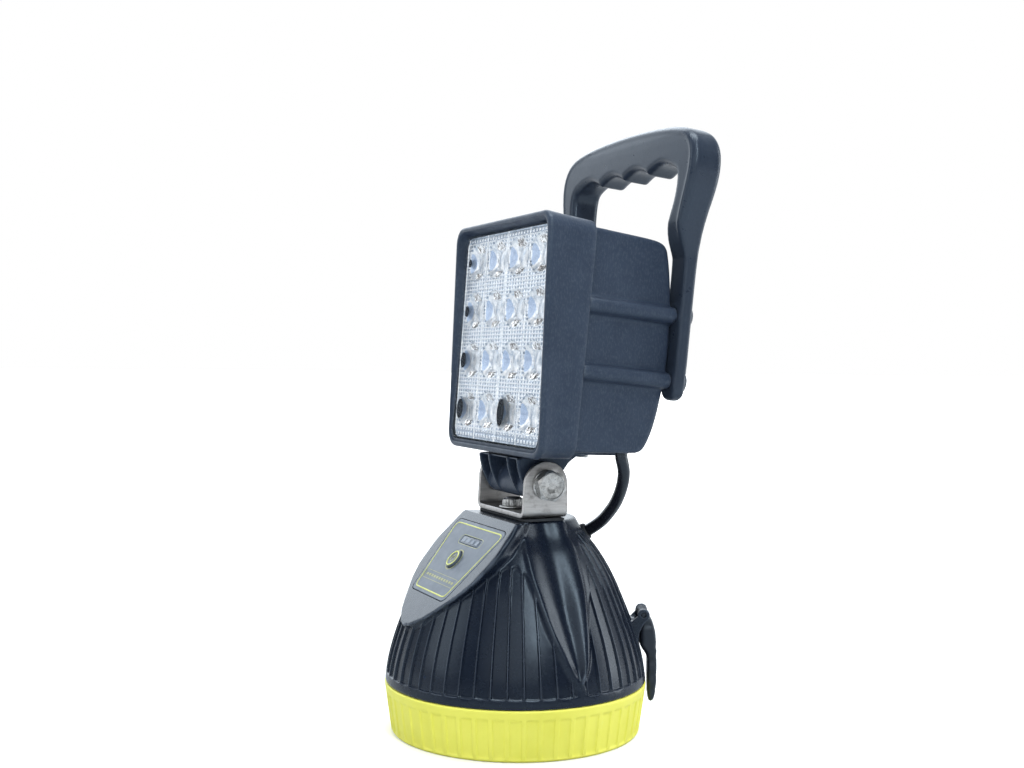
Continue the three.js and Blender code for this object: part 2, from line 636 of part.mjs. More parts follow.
// ---------------------------------------------------------------- head: mounting foot
function mountFoot() {
  // Hinge axis in the head frame
  const cos = Math.cos(HEAD_TILT * DEG);
  const sin = Math.sin(HEAD_TILT * DEG);
  const y = (HINGE[0] - HEAD_Y) * cos - (HINGE[1] - HEAD_Z) * sin;
  const z = (HINGE[0] - HEAD_Y) * sin + (HINGE[1] - HEAD_Z) * cos;

  const plate = [[0.7, -52.7], [37.0, -50.5], [37.0, -48.8], [0.7, -51.0]];
  const web = [
    [y - 7.4, z - 1.6], [-10.6, -68.0], [-12.5, -63.4], [-13.8, -59], [-14.2, -55.6],
    [0.6, -55.6], [0.6, -51.6], [22, -51.0], [22, -52.4], [14.4, -53.2],
    [y + 7.4, z + 1.8], [y + 2, z - 5],
  ];
  const pocket = [
    [-20, z - 1.6], [y - 7.6, z - 1.6], [y - 7.5, z + 0.6], [y - 6.6, z + 3.4],
    [y - 4.6, z + 6.2], [y - 2.6, z + 9.4], [y - 2.6, -56.7], [-20, -56.7],
  ];
  // Three pockets, open to the front, leave four webs.
  const pockets = [[-21.0, -11.5], [-10.0, 10.0], [11.5, 21.0]]
    .map(([from, to]) => prism(pocket, 'x', from, to));
  return cut(
    union(
      prism(plate, 'x', -30, 30),
      rod('x', 7.6, -23.5, 23.5, [y, z], 32), // hinge barrel
      prism(web, 'x', -22.5, 22.5),
    ),
    ...pockets,
    rod('x', BOLT_HOLE_R, -40, 40, [y, z]),
    rods('z', 2.0, -60, -46, FOOT_SCREWS, 14),
    rods('z', 3.7, -70, -51.0, FOOT_SCREWS, 18), // head recesses
  );
}
addPiece(head, 'mount_foot', mountFoot(), 'head_paint');

FOOT_SCREWS.forEach((centre, i) => addPiece(head, `foot_screw_${i + 1}`, union(
  rod('z', 3.4, -53.3, -51.2, centre, 16),
  rod('z', 1.5, -51.3, -43.0, centre, 12),
), 'zinc'));

export default workLight;
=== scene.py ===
import bpy, bmesh, json, math
import numpy as np
from mathutils import Vector, Matrix

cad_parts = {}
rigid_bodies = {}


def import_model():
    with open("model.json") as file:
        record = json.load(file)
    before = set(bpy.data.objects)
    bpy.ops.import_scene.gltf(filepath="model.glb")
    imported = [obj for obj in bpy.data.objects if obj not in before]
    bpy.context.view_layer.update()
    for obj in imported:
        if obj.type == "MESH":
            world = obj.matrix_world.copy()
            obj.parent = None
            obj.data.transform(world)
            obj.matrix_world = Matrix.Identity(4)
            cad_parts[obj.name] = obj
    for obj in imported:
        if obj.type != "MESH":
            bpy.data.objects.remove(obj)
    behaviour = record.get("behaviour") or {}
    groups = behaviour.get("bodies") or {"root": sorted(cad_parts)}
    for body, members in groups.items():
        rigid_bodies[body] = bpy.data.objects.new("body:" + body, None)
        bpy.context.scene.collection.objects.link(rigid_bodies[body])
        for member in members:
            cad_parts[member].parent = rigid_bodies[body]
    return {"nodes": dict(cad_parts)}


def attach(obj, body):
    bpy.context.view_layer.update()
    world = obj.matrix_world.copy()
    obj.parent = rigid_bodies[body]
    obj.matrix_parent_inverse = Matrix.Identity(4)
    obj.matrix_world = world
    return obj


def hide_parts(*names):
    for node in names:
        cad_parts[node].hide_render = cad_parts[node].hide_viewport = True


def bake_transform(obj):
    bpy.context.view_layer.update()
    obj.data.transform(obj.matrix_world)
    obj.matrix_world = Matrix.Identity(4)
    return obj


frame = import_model()
MM = 0.001
for o in list(bpy.context.scene.objects):
    if o.name in ('Cube', 'Light', 'Camera'):
        bpy.data.objects.remove(o)
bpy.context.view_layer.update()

# ------------------------------------------------------------------ frames (all modelling below is in millimetres)
TILT = math.radians(5.6)
TC, TS = math.cos(TILT), math.sin(TILT)
HEAD_O = np.array([0, 9.3, 184.6])


def HW(P):                                   # head frame (x, d backwards, u up) -> row frame
    P = np.atleast_2d(np.asarray(P, float))
    return np.c_[P[:, 0], HEAD_O[1] + P[:, 1] * TC + P[:, 2] * TS, HEAD_O[2] + P[:, 2] * TC - P[:, 1] * TS]


FA = math.radians(48.0)


def FW(P):                                   # panel frame (x across, y up the slope, z out) -> row frame
    P = np.atleast_2d(np.asarray(P, float))
    return np.c_[P[:, 0], -37.6 + P[:, 1] * math.cos(FA) - P[:, 2] * math.sin(FA), 75 + P[:, 1] * math.sin(FA) + P[:, 2] * math.cos(FA)]


PA = math.radians(-25.0)


def PW(P):                                   # port frame (x tangential, y outward, z up) -> row frame
    P = np.atleast_2d(np.asarray(P, float))
    return np.c_[P[:, 0] * math.cos(PA) - P[:, 1] * math.sin(PA), P[:, 0] * math.sin(PA) + P[:, 1] * math.cos(PA), P[:, 2]]


HINGE_Y, HINGE_Z = 2.6, 118.0
HD = (HINGE_Y - 9.3) * TC - (HINGE_Z - 184.6) * TS
HU = (HINGE_Y - 9.3) * TS + (HINGE_Z - 184.6) * TC


# ------------------------------------------------------------------ small maths
def ss(t):
    t = np.clip(t, 0, 1)
    return t * t * (3 - 2 * t)


def smin(a, b, k):
    h = np.clip(0.5 + 0.5 * (b - a) / k, 0, 1)
    return b * (1 - h) + a * h - k * h * (1 - h)


def smax(a, b, k):
    return -smin(-a, -b, k)


def pchip(x, y):
    x, y = np.asarray(x, float), np.asarray(y, float)
    h = np.diff(x); d = np.diff(y) / h
    m = np.zeros_like(y)
    m[0], m[-1] = d[0], d[-1]
    for i in range(1, len(x) - 1):
        if d[i - 1] * d[i] > 0:
            w1, w2 = 2 * h[i] + h[i - 1], h[i] + 2 * h[i - 1]
            m[i] = (w1 + w2) / (w1 / d[i - 1] + w2 / d[i])

    def f(q):
        q = np.clip(q, x[0], x[-1])
        i = np.clip(np.searchsorted(x, q, side='right') - 1, 0, len(x) - 2)
        t = (q - x[i]) / h[i]
        return ((2 * t**3 - 3 * t**2 + 1) * y[i] + (t**3 - 2 * t**2 + t) * h[i] * m[i]
                + (-2 * t**3 + 3 * t**2) * y[i + 1] + (t**3 - t**2) * h[i] * m[i + 1])
    return f


def poly_sdf(px, py, poly):
    poly = np.asarray(poly, float)
    d2 = np.full(np.broadcast(px, py).shape, 1e18)
    sgn = np.ones_like(d2)
    n = len(poly)
    for i in range(n):
        a, b = poly[i], poly[(i + 1) % n]
        ex, ey = b[0] - a[0], b[1] - a[1]
        wx, wy = px - a[0], py - a[1]
        t = np.clip((wx * ex + wy * ey) / (ex * ex + ey * ey + 1e-18), 0, 1)
        d2 = np.minimum(d2, (wx - ex * t)**2 + (wy - ey * t)**2)
        c1, c2, c3 = py >= a[1], py < b[1], ex * wy > ey * wx
        flip = (c1 & c2 & c3) | (~c1 & ~c2 & ~c3)
        sgn = np.where(flip, -sgn, sgn)
    return sgn * np.sqrt(d2)


def sd_box(x, y, z, c, hsize, r=0.0):
    qx, qy, qz = np.abs(x - c[0]) - hsize[0] + r, np.abs(y - c[1]) - hsize[1] + r, np.abs(z - c[2]) - hsize[2] + r
    out = np.sqrt(np.maximum(qx, 0)**2 + np.maximum(qy, 0)**2 + np.maximum(qz, 0)**2)
    return out + np.minimum(np.maximum(qx, np.maximum(qy, qz)), 0) - r


def surface_nets(f, lo, hi, h, newton=3):
    lo = np.array(lo, float) + 1.7e-4
    n = np.ceil((np.array(hi, float) - lo) / h).astype(int) + 1
    ax = [lo[i] + h * np.arange(n[i]) for i in range(3)]
    X, Y, Z = np.meshgrid(*ax, indexing='ij', sparse=True)
    F = np.broadcast_to(f(X, Y, Z), tuple(n)).astype(np.float64)
    S = F < 0
    cnt = np.zeros(tuple(n - 1), np.int8)
    for a in (0, 1):
        for b in (0, 1):
            for c in (0, 1):
                cnt += S[a:n[0] - 1 + a, b:n[1] - 1 + b, c:n[2] - 1 + c]
    act = (cnt > 0) & (cnt < 8)
    ids = np.argwhere(act)
    idx = -np.ones(act.shape, np.int64)
    idx[act] = np.arange(len(ids))
    i, j, k = ids.T
    corners = [(0, 0, 0), (1, 0, 0), (0, 1, 0), (1, 1, 0), (0, 0, 1), (1, 0, 1), (0, 1, 1), (1, 1, 1)]
    vals = [F[i + a, j + b, k + c] for a, b, c in corners]
    P = np.zeros((len(ids), 3)); C = np.zeros(len(ids))
    for a, b in [(0, 1), (2, 3), (4, 5), (6, 7), (0, 2), (1, 3), (4, 6), (5, 7), (0, 4), (1, 5), (2, 6), (3, 7)]:
        fa, fb = vals[a], vals[b]
        m = (fa < 0) != (fb < 0)
        t = (fa[m] / (fa[m] - fb[m]))[:, None]
        pa, pb = np.array(corners[a], float), np.array(corners[b], float)
        P[m] += pa + (pb - pa) * t
        C[m] += 1
    V = lo + (ids + P / C[:, None]) * h
    quads = []
    for axis in range(3):
        o1, o2 = (axis + 1) % 3, (axis + 2) % 3
        A = np.moveaxis(S, axis, 0)
        cross = np.argwhere(np.moveaxis(A[:-1] != A[1:], 0, axis))
        cross = cross[(cross[:, o1] > 0) & (cross[:, o1] < n[o1] - 1) & (cross[:, o2] > 0) & (cross[:, o2] < n[o2] - 1)]
        inside = S[cross[:, 0], cross[:, 1], cross[:, 2]]
        e1 = np.zeros(3, int); e1[o1] = 1
        e2 = np.zeros(3, int); e2[o2] = 1
        q = np.stack([idx[tuple((cross + off).T)] for off in (-e1 - e2, -e2, 0 * e1, -e1)], 1)
        q[~inside] = q[~inside][:, ::-1]
        quads.append(q)
    Q = np.concatenate(quads)
    e = h * 0.05
    for _ in range(newton):
        x, y, z = V.T
        g = np.c_[f(x + e, y, z) - f(x - e, y, z), f(x, y + e, z) - f(x, y - e, z), f(x, y, z + e) - f(x, y, z - e)] / (2 * e)
        step = f(x, y, z)[:, None] * g / np.maximum((g * g).sum(1), 0.15)[:, None]
        ln = np.linalg.norm(step, axis=1, keepdims=True)
        V = V - step * np.minimum(1, 0.4 * h / np.maximum(ln, 1e-9))
    return V, Q


# ------------------------------------------------------------------ materials
def nodes_of(m):
    m.use_nodes = True
    nt = m.node_tree
    for n in list(nt.nodes):
        nt.nodes.remove(n)
    return nt


class G:
    """Small helper to build a node tree."""
    def __init__(self, name):
        self.m = bpy.data.materials.new(name)
        self.nt = nodes_of(self.m)
        self.out = self.nt.nodes.new('ShaderNodeOutputMaterial')
        self.tc = self.nt.nodes.new('ShaderNodeTexCoord')

    def n(self, kind, **kw):
        node = self.nt.nodes.new(kind)
        for k, v in kw.items():
            if k.startswith('_'):
                setattr(node, k[1:], v)
            else:
                node.inputs[k.replace('__', ' ')].default_value = v
        return node

    def l(self, a, b):
        self.nt.links.new(a, b)

    def noise(self, scale, detail=3.0, rough=0.55, stretch=None, dist=0.0):
        t = self.n('ShaderNodeTexNoise', Scale=scale, Detail=detail, Roughness=rough, Distortion=dist)
        src = self.tc.outputs['Object']
        if stretch is not None:
            mp = self.n('ShaderNodeMapping')
            mp.inputs['Scale'].default_value = stretch
            self.l(src, mp.inputs['Vector'])
            src = mp.outputs['Vector']
        self.l(src, t.inputs['Vector'])
        return t.outputs['Fac']

    def ramp(self, fac, lo, hi, a=0.0, b=1.0):
        r = self.n('ShaderNodeMapRange')
        r.inputs['From Min'].default_value = lo
        r.inputs['From Max'].default_value = hi
        r.inputs['To Min'].default_value = a
        r.inputs['To Max'].default_value = b
        self.l(fac, r.inputs['Value'])
        return r.outputs['Result']

    def mix(self, fac, c1, c2):
        x = self.n('ShaderNodeMix', _data_type='RGBA')
        if isinstance(fac, (int, float)):
            x.inputs[0].default_value = fac
        else:
            self.l(fac, x.inputs[0])
        for sock, c in ((x.inputs[6], c1), (x.inputs[7], c2)):
            if isinstance(c, (tuple, list)):
                sock.default_value = (*c[:3], 1)
            else:
                self.l(c, sock)
        return x.outputs[2]

    def math(self, op, a, b=0.0):
        x = self.n('ShaderNodeMath', _operation=op)
        for i, v in enumerate((a, b)):
            if isinstance(v, (int, float)):
                x.inputs[i].default_value = v
            else:
                self.l(v, x.inputs[i])
        return x.outputs[0]

    def bump(self, layers):
        """layers: (height socket, distance in metres, strength)"""
        prev = None
        for h, dist, st in layers:
            b = self.n('ShaderNodeBump', Strength=st, Distance=dist)
            self.l(h, b.inputs['Height'])
            if prev is not None:
                self.l(prev, b.inputs['Normal'])
            prev = b.outputs['Normal']
        return prev

    def principled(self, color, rough, metallic=0.0, normal=None, **kw):
        p = self.n('ShaderNodeBsdfPrincipled')
        for name, v in (('Base Color', color), ('Roughness', rough), ('Metallic', metallic)):
            if isinstance(v, (tuple, list)):
                p.inputs[name].default_value = (*v[:3], 1)
            elif isinstance(v, (int, float)):
                p.inputs[name].default_value = v
            else:
                self.l(v, p.inputs[name])
        for k, v in kw.items():
            key = k.replace('__', ' ')
            if isinstance(v, (tuple, list)):
                p.inputs[key].default_value = (*v[:3], 1) if len(p.inputs[key].default_value) == 4 else v
            elif isinstance(v, (int, float)):
                p.inputs[key].default_value = v
            else:
                self.l(v, p.inputs[key])
        if normal is not None:
            self.l(normal, p.inputs['Normal'])
        return p

    def done(self, shader):
        self.l(shader.outputs[0], self.out.inputs['Surface'])
        return self.m


def plastic(name, dark, light, rough, grain=1500, grain_d=0.00006, wear_speck_and_sheen=(0.10, 0.12, 0.15), wear_and_sheen_amt=0.5, spec=0.5, coat=0.0, var=60, metallic=0.0, even=False, speck=0.0):
    g = G(name)
    big = g.noise(var, 4, 0.6)
    fine = g.noise(grain, 2, 0.5)
    micro = g.noise(grain * 3.1, 2, 0.5)
    geo = g.n('ShaderNodeNewGeometry')
    # Pointiness pulls edges and ridges toward the wear colour: partly edge wear, partly a painted highlight that
    # lightens the ridges; with even set it is a uniform painted highlight line
    edge = g.ramp(geo.outputs['Pointiness'], 0.52 if even else 0.515, 0.585 if even else 0.60, 0.0, wear_and_sheen_amt)
    edge = edge if even else g.math('MULTIPLY', edge, g.ramp(g.noise(420, 3, 0.6), 0.35, 0.65))
    col = g.mix(g.ramp(big, 0.3, 0.7), dark, light)
    if speck:
        col = g.mix(g.math('MULTIPLY', g.ramp(g.noise(1400, 3, 0.6, (1, 1, 0.45)), 0.48, 0.66), speck), col, wear_speck_and_sheen)
    col = g.mix(edge, col, wear_speck_and_sheen)
    rg = g.ramp(g.noise(190, 4, 0.65), 0.25, 0.75, rough * (0.94 if even else 0.82), min(1.0, rough * (1.07 if even else 1.2)))
    nrm = g.bump([(fine, grain_d, 0.6), (micro, grain_d * 0.5, 0.5)])
    return g.done(g.principled(col, rg, metallic, nrm, Specular__IOR__Level=spec, Specular__Tint=(0.74, 0.88, 1.0), Coat__Weight=coat, Coat__Roughness=0.25))


def metal(name, c1, c2, rough, stretch=(1, 1, 1), scale=400, bump=0.00002, blotch=30, stain=0.25, dirt=(0.12, 0.11, 0.10), scratch=0.3):
    g = G(name)
    brush = g.noise(scale, 5, 0.7, stretch)
    blot = g.noise(blotch * 8, 5, 0.65)
    pits = g.noise(2600, 3, 0.6)
    col = g.mix(g.ramp(brush, 0.3, 0.7), c1, c2)
    col = g.mix(g.math('MULTIPLY', g.ramp(blot, 0.52, 0.72), stain), col, dirt)
    rg = g.ramp(brush, 0.25, 0.75, rough * 0.7, rough * 1.35)
    rg = g.math('ADD', rg, g.math('MULTIPLY', g.ramp(blot, 0.5, 0.7), 0.12))
    nrm = g.bump([(brush, bump, scratch), (pits, bump * 0.8, 0.35)])
    return g.done(g.principled(col, rg, 1.0, nrm))


M = {}
# base_plastic: its even edge lightening paints the highlight lines along the flute ridges
M['base_plastic'] = plastic('base_plastic', (0.0045, 0.0075, 0.0165), (0.006, 0.010, 0.020), 0.27, grain=2200, grain_d=0.00002, wear_speck_and_sheen=(0.10, 0.12, 0.155), wear_and_sheen_amt=0.8, spec=0.38, even=True)
M['ring_rubber'] = plastic('ring_rubber', (0.89, 0.86, 0.12), (0.94, 0.91, 0.155), 0.5, grain=1800, grain_d=0.00003, wear_speck_and_sheen=(0.9, 0.92, 0.25), wear_and_sheen_amt=0.35, spec=0.35)
M['black_rubber'] = plastic('black_rubber', (0.012, 0.012, 0.014), (0.02, 0.02, 0.022), 0.75, grain=900, grain_d=0.00008, wear_speck_and_sheen=(0.05, 0.05, 0.05))
M['inner_plastic'] = plastic('inner_plastic', (0.02, 0.021, 0.023), (0.03, 0.031, 0.034), 0.55)
M['panel_film'] = plastic('panel_film', (0.055, 0.072, 0.098), (0.068, 0.086, 0.115), 0.38, grain=3000, grain_d=0.000012, wear_speck_and_sheen=(0.2, 0.22, 0.25), wear_and_sheen_amt=0.3)
M['cover_rubber'] = plastic('cover_rubber', (0.011, 0.013, 0.020), (0.016, 0.019, 0.027), 0.4, grain=1600, grain_d=0.00005, wear_speck_and_sheen=(0.10, 0.11, 0.12))
M['cable_jacket'] = plastic('cable_jacket', (0.006, 0.007, 0.011), (0.010, 0.011, 0.017), 0.25, grain=700, grain_d=0.00008, wear_speck_and_sheen=(0.06, 0.06, 0.07))
M['head_paint'] = plastic('head_paint', (0.017, 0.027, 0.050), (0.024, 0.036, 0.062), 0.44, grain=1150, grain_d=0.00011, wear_speck_and_sheen=(0.11, 0.13, 0.155), wear_and_sheen_amt=0.6, spec=0.38, speck=0.16)
M['head_paint'].name = 'head_paint'
M['handle_plastic'] = plastic('handle_plastic', (0.019, 0.026, 0.042), (0.023, 0.032, 0.049), 0.31, grain=1900, grain_d=0.000025, wear_speck_and_sheen=(0.10, 0.12, 0.145), wear_and_sheen_amt=0.2, speck=0.05, spec=0.34)
M['stainless'] = metal('stainless', (0.34, 0.335, 0.33), (0.50, 0.49, 0.48), 0.36, stretch=(1, 0.12, 1), scale=900, stain=0.5, dirt=(0.13, 0.12, 0.11))
M['zinc_steel'] = metal('zinc_steel', (0.30, 0.31, 0.31), (0.54, 0.54, 0.53), 0.3, scale=700, bump=0.00005, stain=0.8, dirt=(0.14, 0.14, 0.14), scratch=0.5)
M['dark_steel'] = metal('dark_steel', (0.10, 0.10, 0.11), (0.16, 0.16, 0.17), 0.35, scale=700)
M['board_aluminium'] = metal('board_aluminium', (0.6, 0.6, 0.6), (0.7, 0.7, 0.7), 0.4)
M['yellow_print'] = plastic('yellow_print', (0.55, 0.58, 0.10), (0.64, 0.66, 0.14), 0.45, grain=3000, grain_d=0.00001, wear_and_sheen_amt=0.0)
M['pale_print'] = plastic('pale_print', (0.17, 0.20, 0.25), (0.22, 0.25, 0.30), 0.45, grain=3000, grain_d=0.00001, wear_and_sheen_amt=0.0)
M['ochre_print'] = plastic('ochre_print', (0.30, 0.30, 0.10), (0.36, 0.36, 0.13), 0.45, grain=3000, grain_d=0.00001, wear_and_sheen_amt=0.0)
M['cell_wrap'] = plastic('cell_wrap', (0.03, 0.14, 0.35), (0.04, 0.18, 0.42), 0.35, grain=900)
M['circuit_board'] = plastic('circuit_board', (0.015, 0.10, 0.045), (0.02, 0.14, 0.06), 0.4, grain=500, grain_d=0.0001)
M['led_package'] = plastic('led_package', (0.78, 0.72, 0.30), (0.85, 0.80, 0.38), 0.35, grain=2500, grain_d=0.00002, wear_and_sheen_amt=0.0)
M['led_body'] = plastic('led_body', (0.75, 0.76, 0.74), (0.82, 0.83, 0.8), 0.45, grain=2500, grain_d=0.00002, wear_and_sheen_amt=0.0)


def reflector_mat():
    g = G('reflector_chrome')
    n = g.noise(300, 3, 0.5)
    sp = g.noise(1900, 2, 0.5)
    col = g.mix(g.ramp(n, 0.3, 0.7), (0.70, 0.76, 0.83), (0.86, 0.90, 0.94))
    rg = g.ramp(sp, 0.3, 0.7, 0.06, 0.22)
    return g.done(g.principled(col, rg, 1.0, g.bump([(sp, 0.00003, 0.3)])))


def clear_mat(name, tint, alpha_edge=0.55, alpha_mid=0.16, rough=0.04, spec=0.6):
    """Clear polycarbonate: see-through face on, brighter and more solid at grazing angles."""
    g = G(name)
    lw = g.n('ShaderNodeLayerWeight', Blend=0.35)
    sp = g.noise(2400, 2, 0.5)
    wav = g.noise(120, 3, 0.5)
    nrm = g.bump([(wav, 0.00008, 0.25), (sp, 0.000012, 0.2)])
    p = g.principled(g.mix(g.ramp(wav, 0.3, 0.7), tint, tuple(min(1, c * 1.08) for c in tint)), g.ramp(sp, 0.3, 0.7, rough, rough * 2), 0.0, nrm, Specular__IOR__Level=spec)
    a = g.ramp(lw.outputs['Facing'], 0.0, 1.0, alpha_mid, alpha_edge)
    g.l(a, p.inputs['Alpha'])
    return g.done(p)


M['reflector_chrome'] = reflector_mat()
M['clear_lens'] = clear_mat('clear_lens', (0.30, 0.35, 0.40), 0.06, 0.02, 0.03, 0.35)


def optic_mats():
    g = G('optic_prism')
    n = g.noise(260, 4, 0.7)
    sp = g.noise(1500, 3, 0.7)
    f = g.math('MULTIPLY', g.ramp(sp, 0.38, 0.62), 0.7)
    f = g.math('ADD', f, g.math('MULTIPLY', g.ramp(n, 0.35, 0.65), 0.3))
    col = g.mix(f, (0.50, 0.57, 0.66), (1.0, 1.0, 1.0))
    M['optic_prism'] = g.done(g.principled(col, g.ramp(sp, 0.3, 0.7, 0.08, 0.30), 0.35, g.bump([(sp, 0.00012, 0.6)]), Specular__IOR__Level=0.9))
    # painted shade: darker colour for the recesses between the prism beads
    g = G('optic_valley_painted_shade')
    n = g.noise(500, 3, 0.6)
    col = g.mix(g.ramp(n, 0.3, 0.7), (0.16, 0.21, 0.28), (0.42, 0.49, 0.58))
    M['optic_valley_painted_shade'] = g.done(g.principled(col, 0.2, 0.3, g.bump([(n, 0.0001, 0.4)]), Specular__IOR__Level=0.6))
    # painted reflection: a light-blue oval standing for the window reflection seen from this side, not the optic's own
    # colour
    g = G('optic_window_painted_reflection')
    n = g.noise(140, 3, 0.5)
    col = g.mix(g.ramp(n, 0.3, 0.7), (0.32, 0.42, 0.60), (0.44, 0.55, 0.74))
    M['optic_window_painted_reflection'] = g.done(g.principled(col, g.ramp(n, 0.3, 0.7, 0.06, 0.14), 0.1, g.bump([(n, 0.0001, 0.3)]), Specular__IOR__Level=0.8))
    # painted glints: grey-brown to white streaks at the top and bottom of each cup
    g = G('optic_painted_glint')
    n = g.noise(700, 4, 0.75, (1.0, 1.0, 0.4))
    col = g.mix(g.ramp(n, 0.42, 0.58), (0.24, 0.22, 0.21), (1.0, 1.0, 1.0))
    M['optic_painted_glint'] = g.done(g.principled(col, g.ramp(n, 0.3, 0.7, 0.05, 0.2), 0.8, g.bump([(n, 0.0002, 0.6)])))
    # painted sheen: pale, white-flecked colour for the glare on the clear cup walls
    g = G('optic_wall_painted_sheen')
    n = g.noise(420, 4, 0.7, (1.0, 1.0, 0.6))
    col = g.mix(g.ramp(n, 0.36, 0.64), (0.46, 0.53, 0.62), (1.0, 1.0, 1.0))
    M['optic_wall_painted_sheen'] = g.done(g.principled(col, g.ramp(n, 0.3, 0.7, 0.06, 0.22), 0.3, g.bump([(n, 0.00015, 0.5)]), Specular__IOR__Level=0.8))
    # painted shade: near-black for the dark view seen through some cups
    g = G('painted_shade_throat')
    n = g.noise(300, 3, 0.5)
    col = g.mix(g.ramp(n, 0.3, 0.7), (0.004, 0.005, 0.008), (0.010, 0.012, 0.018))
    M['painted_shade_throat'] = g.done(g.principled(col, 0.9, 0.0, g.bump([(n, 0.00005, 0.3)]), Specular__IOR__Level=0.05))


optic_mats()
M['indicator_clear'] = clear_mat('indicator_clear', (0.10, 0.13, 0.17), 0.9, 0.8, 0.25)


# ------------------------------------------------------------------ mesh helpers
def add(name, V, F, mat, body, slot, replaces=(), smooth_deg=35, bevel=None, to=None, flip=False, mats=None, fmat=None):
    V = np.asarray(V, float)
    if to is not None:
        V = to(V)
    me = bpy.data.meshes.new(name)
    F = [list(map(int, f)) for f in F]
    if flip:
        F = [f[::-1] for f in F]
    me.from_pydata((V * MM).tolist(), [], F)
    me.validate()
    ob = bpy.data.objects.new(name, me)
    bpy.context.scene.collection.objects.link(ob)
    for m in (mats or [mat]):
        me.materials.append(M[m])
    if fmat is not None and len(me.polygons) == len(fmat):
        me.polygons.foreach_set('material_index', np.asarray(fmat, np.int32))
    me.shade_smooth()
    if smooth_deg is not None:
        me.set_sharp_from_angle(angle=math.radians(smooth_deg))
    if bevel:
        b = ob.modifiers.new('bevel', 'BEVEL')
        b.width = bevel[0] * MM
        b.segments = bevel[1]
        b.limit_method = 'ANGLE'
        b.angle_limit = math.radians(30)
        b.harden_normals = False
        bake(ob)
        ob.data.shade_smooth()
        ob.data.set_sharp_from_angle(angle=math.radians(smooth_deg or 35))
    if body:
        if replaces:
            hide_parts(*replaces)
        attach(ob, body)
    return ob


def bake(ob):
    """Apply every modifier of ob."""
    bpy.context.view_layer.update()
    dg = bpy.context.evaluated_depsgraph_get()
    me = bpy.data.meshes.new_from_object(ob.evaluated_get(dg), preserve_all_data_layers=True, depsgraph=dg)
    ob.modifiers.clear()
    old = ob.data
    ob.data = me
    me.name = ob.name
    bpy.data.meshes.remove(old)


def boolean(ob, cutter, op='DIFFERENCE'):
    b = ob.modifiers.new('bool', 'BOOLEAN')
    b.operation = op
    b.object = cutter
    b.solver = 'EXACT'
    bake(ob)
    me = cutter.data
    bpy.data.objects.remove(cutter)
    bpy.data.meshes.remove(me)


def prism(poly, a0, a1, flipped=False):
    """Extrude a 2D outline along the third axis; returns V as (u, v, w)."""
    n = len(poly)
    V = [(u, v, a0) for u, v in poly] + [(u, v, a1) for u, v in poly]
    F = [list(range(n))[::-1], [n + i for i in range(n)]]
    F += [[i, (i + 1) % n, n + (i + 1) % n, n + i] for i in range(n)]
    return np.array(V, float), F


def area2(poly):
    p = np.asarray(poly, float)
    q = np.roll(p, -1, 0)
    return 0.5 * float((p[:, 0] * q[:, 1] - q[:, 0] * p[:, 1]).sum())


def merge(parts):
    V, F, K = [], [], []
    o = 0
    for p in parts:
        v, f = p[0], p[1]
        k = p[2] if len(p) > 2 else 0
        V.append(np.asarray(v, float)); F += [[int(i) + o for i in q] for q in f]
        K += list(k) if hasattr(k, '__len__') else [k] * len(f)
        o += len(v)
    return np.concatenate(V), F, K


def rrect(w, h, r, cx=0, cy=0, n=6):
    pts = []
    for x, y, a0 in [(w / 2 - r, h / 2 - r, 0), (-w / 2 + r, h / 2 - r, 90), (-w / 2 + r, -h / 2 + r, 180), (w / 2 - r, -h / 2 + r, 270)]:
        for i in range(n + 1):
            a = math.radians(a0 + 90 * i / n)
            pts.append((cx + x + r * math.cos(a), cy + y + r * math.sin(a)))
    return pts


def loft(rings, cap0=True, cap1=True):
    n = len(rings[0])
    V = np.concatenate([np.asarray(r, float) for r in rings])
    F = []
    for k in range(len(rings) - 1):
        a, b = k * n, (k + 1) * n
        for i in range(n):
            j = (i + 1) % n
            F.append([a + i, a + j, b + j, b + i])
    if cap0:
        F.append(list(range(n))[::-1])
    if cap1:
        F.append([(len(rings) - 1) * n + i for i in range(n)])
    return V, F


def revolve(profile, n=64, closed=False):
    """(r, z) profile about Z. Points with r = 0 become poles."""
    V, ringi = [], []
    for r, z in profile:
        if r < 1e-6:
            ringi.append([len(V)]); V.append((0, 0, z))
        else:
            ringi.append(list(range(len(V), len(V) + n)))
            V += [(r * math.cos(2 * math.pi * i / n), r * math.sin(2 * math.pi * i / n), z) for i in range(n)]
    F = []
    pairs = list(zip(ringi[:-1], ringi[1:])) + ([(ringi[-1], ringi[0])] if closed else [])
    for a, b in pairs:
        for i in range(n):
            j = (i + 1) % n
            if len(a) == 1 and len(b) == 1:
                continue
            if len(a) == 1:
                F.append([a[0], b[j], b[i]])
            elif len(b) == 1:
                F.append([a[i], a[j], b[0]])
            else:
                F.append([a[i], a[j], b[j], b[i]])
    return np.array(V, float), F


def perm(V, order):
    return np.asarray(V, float)[:, order]


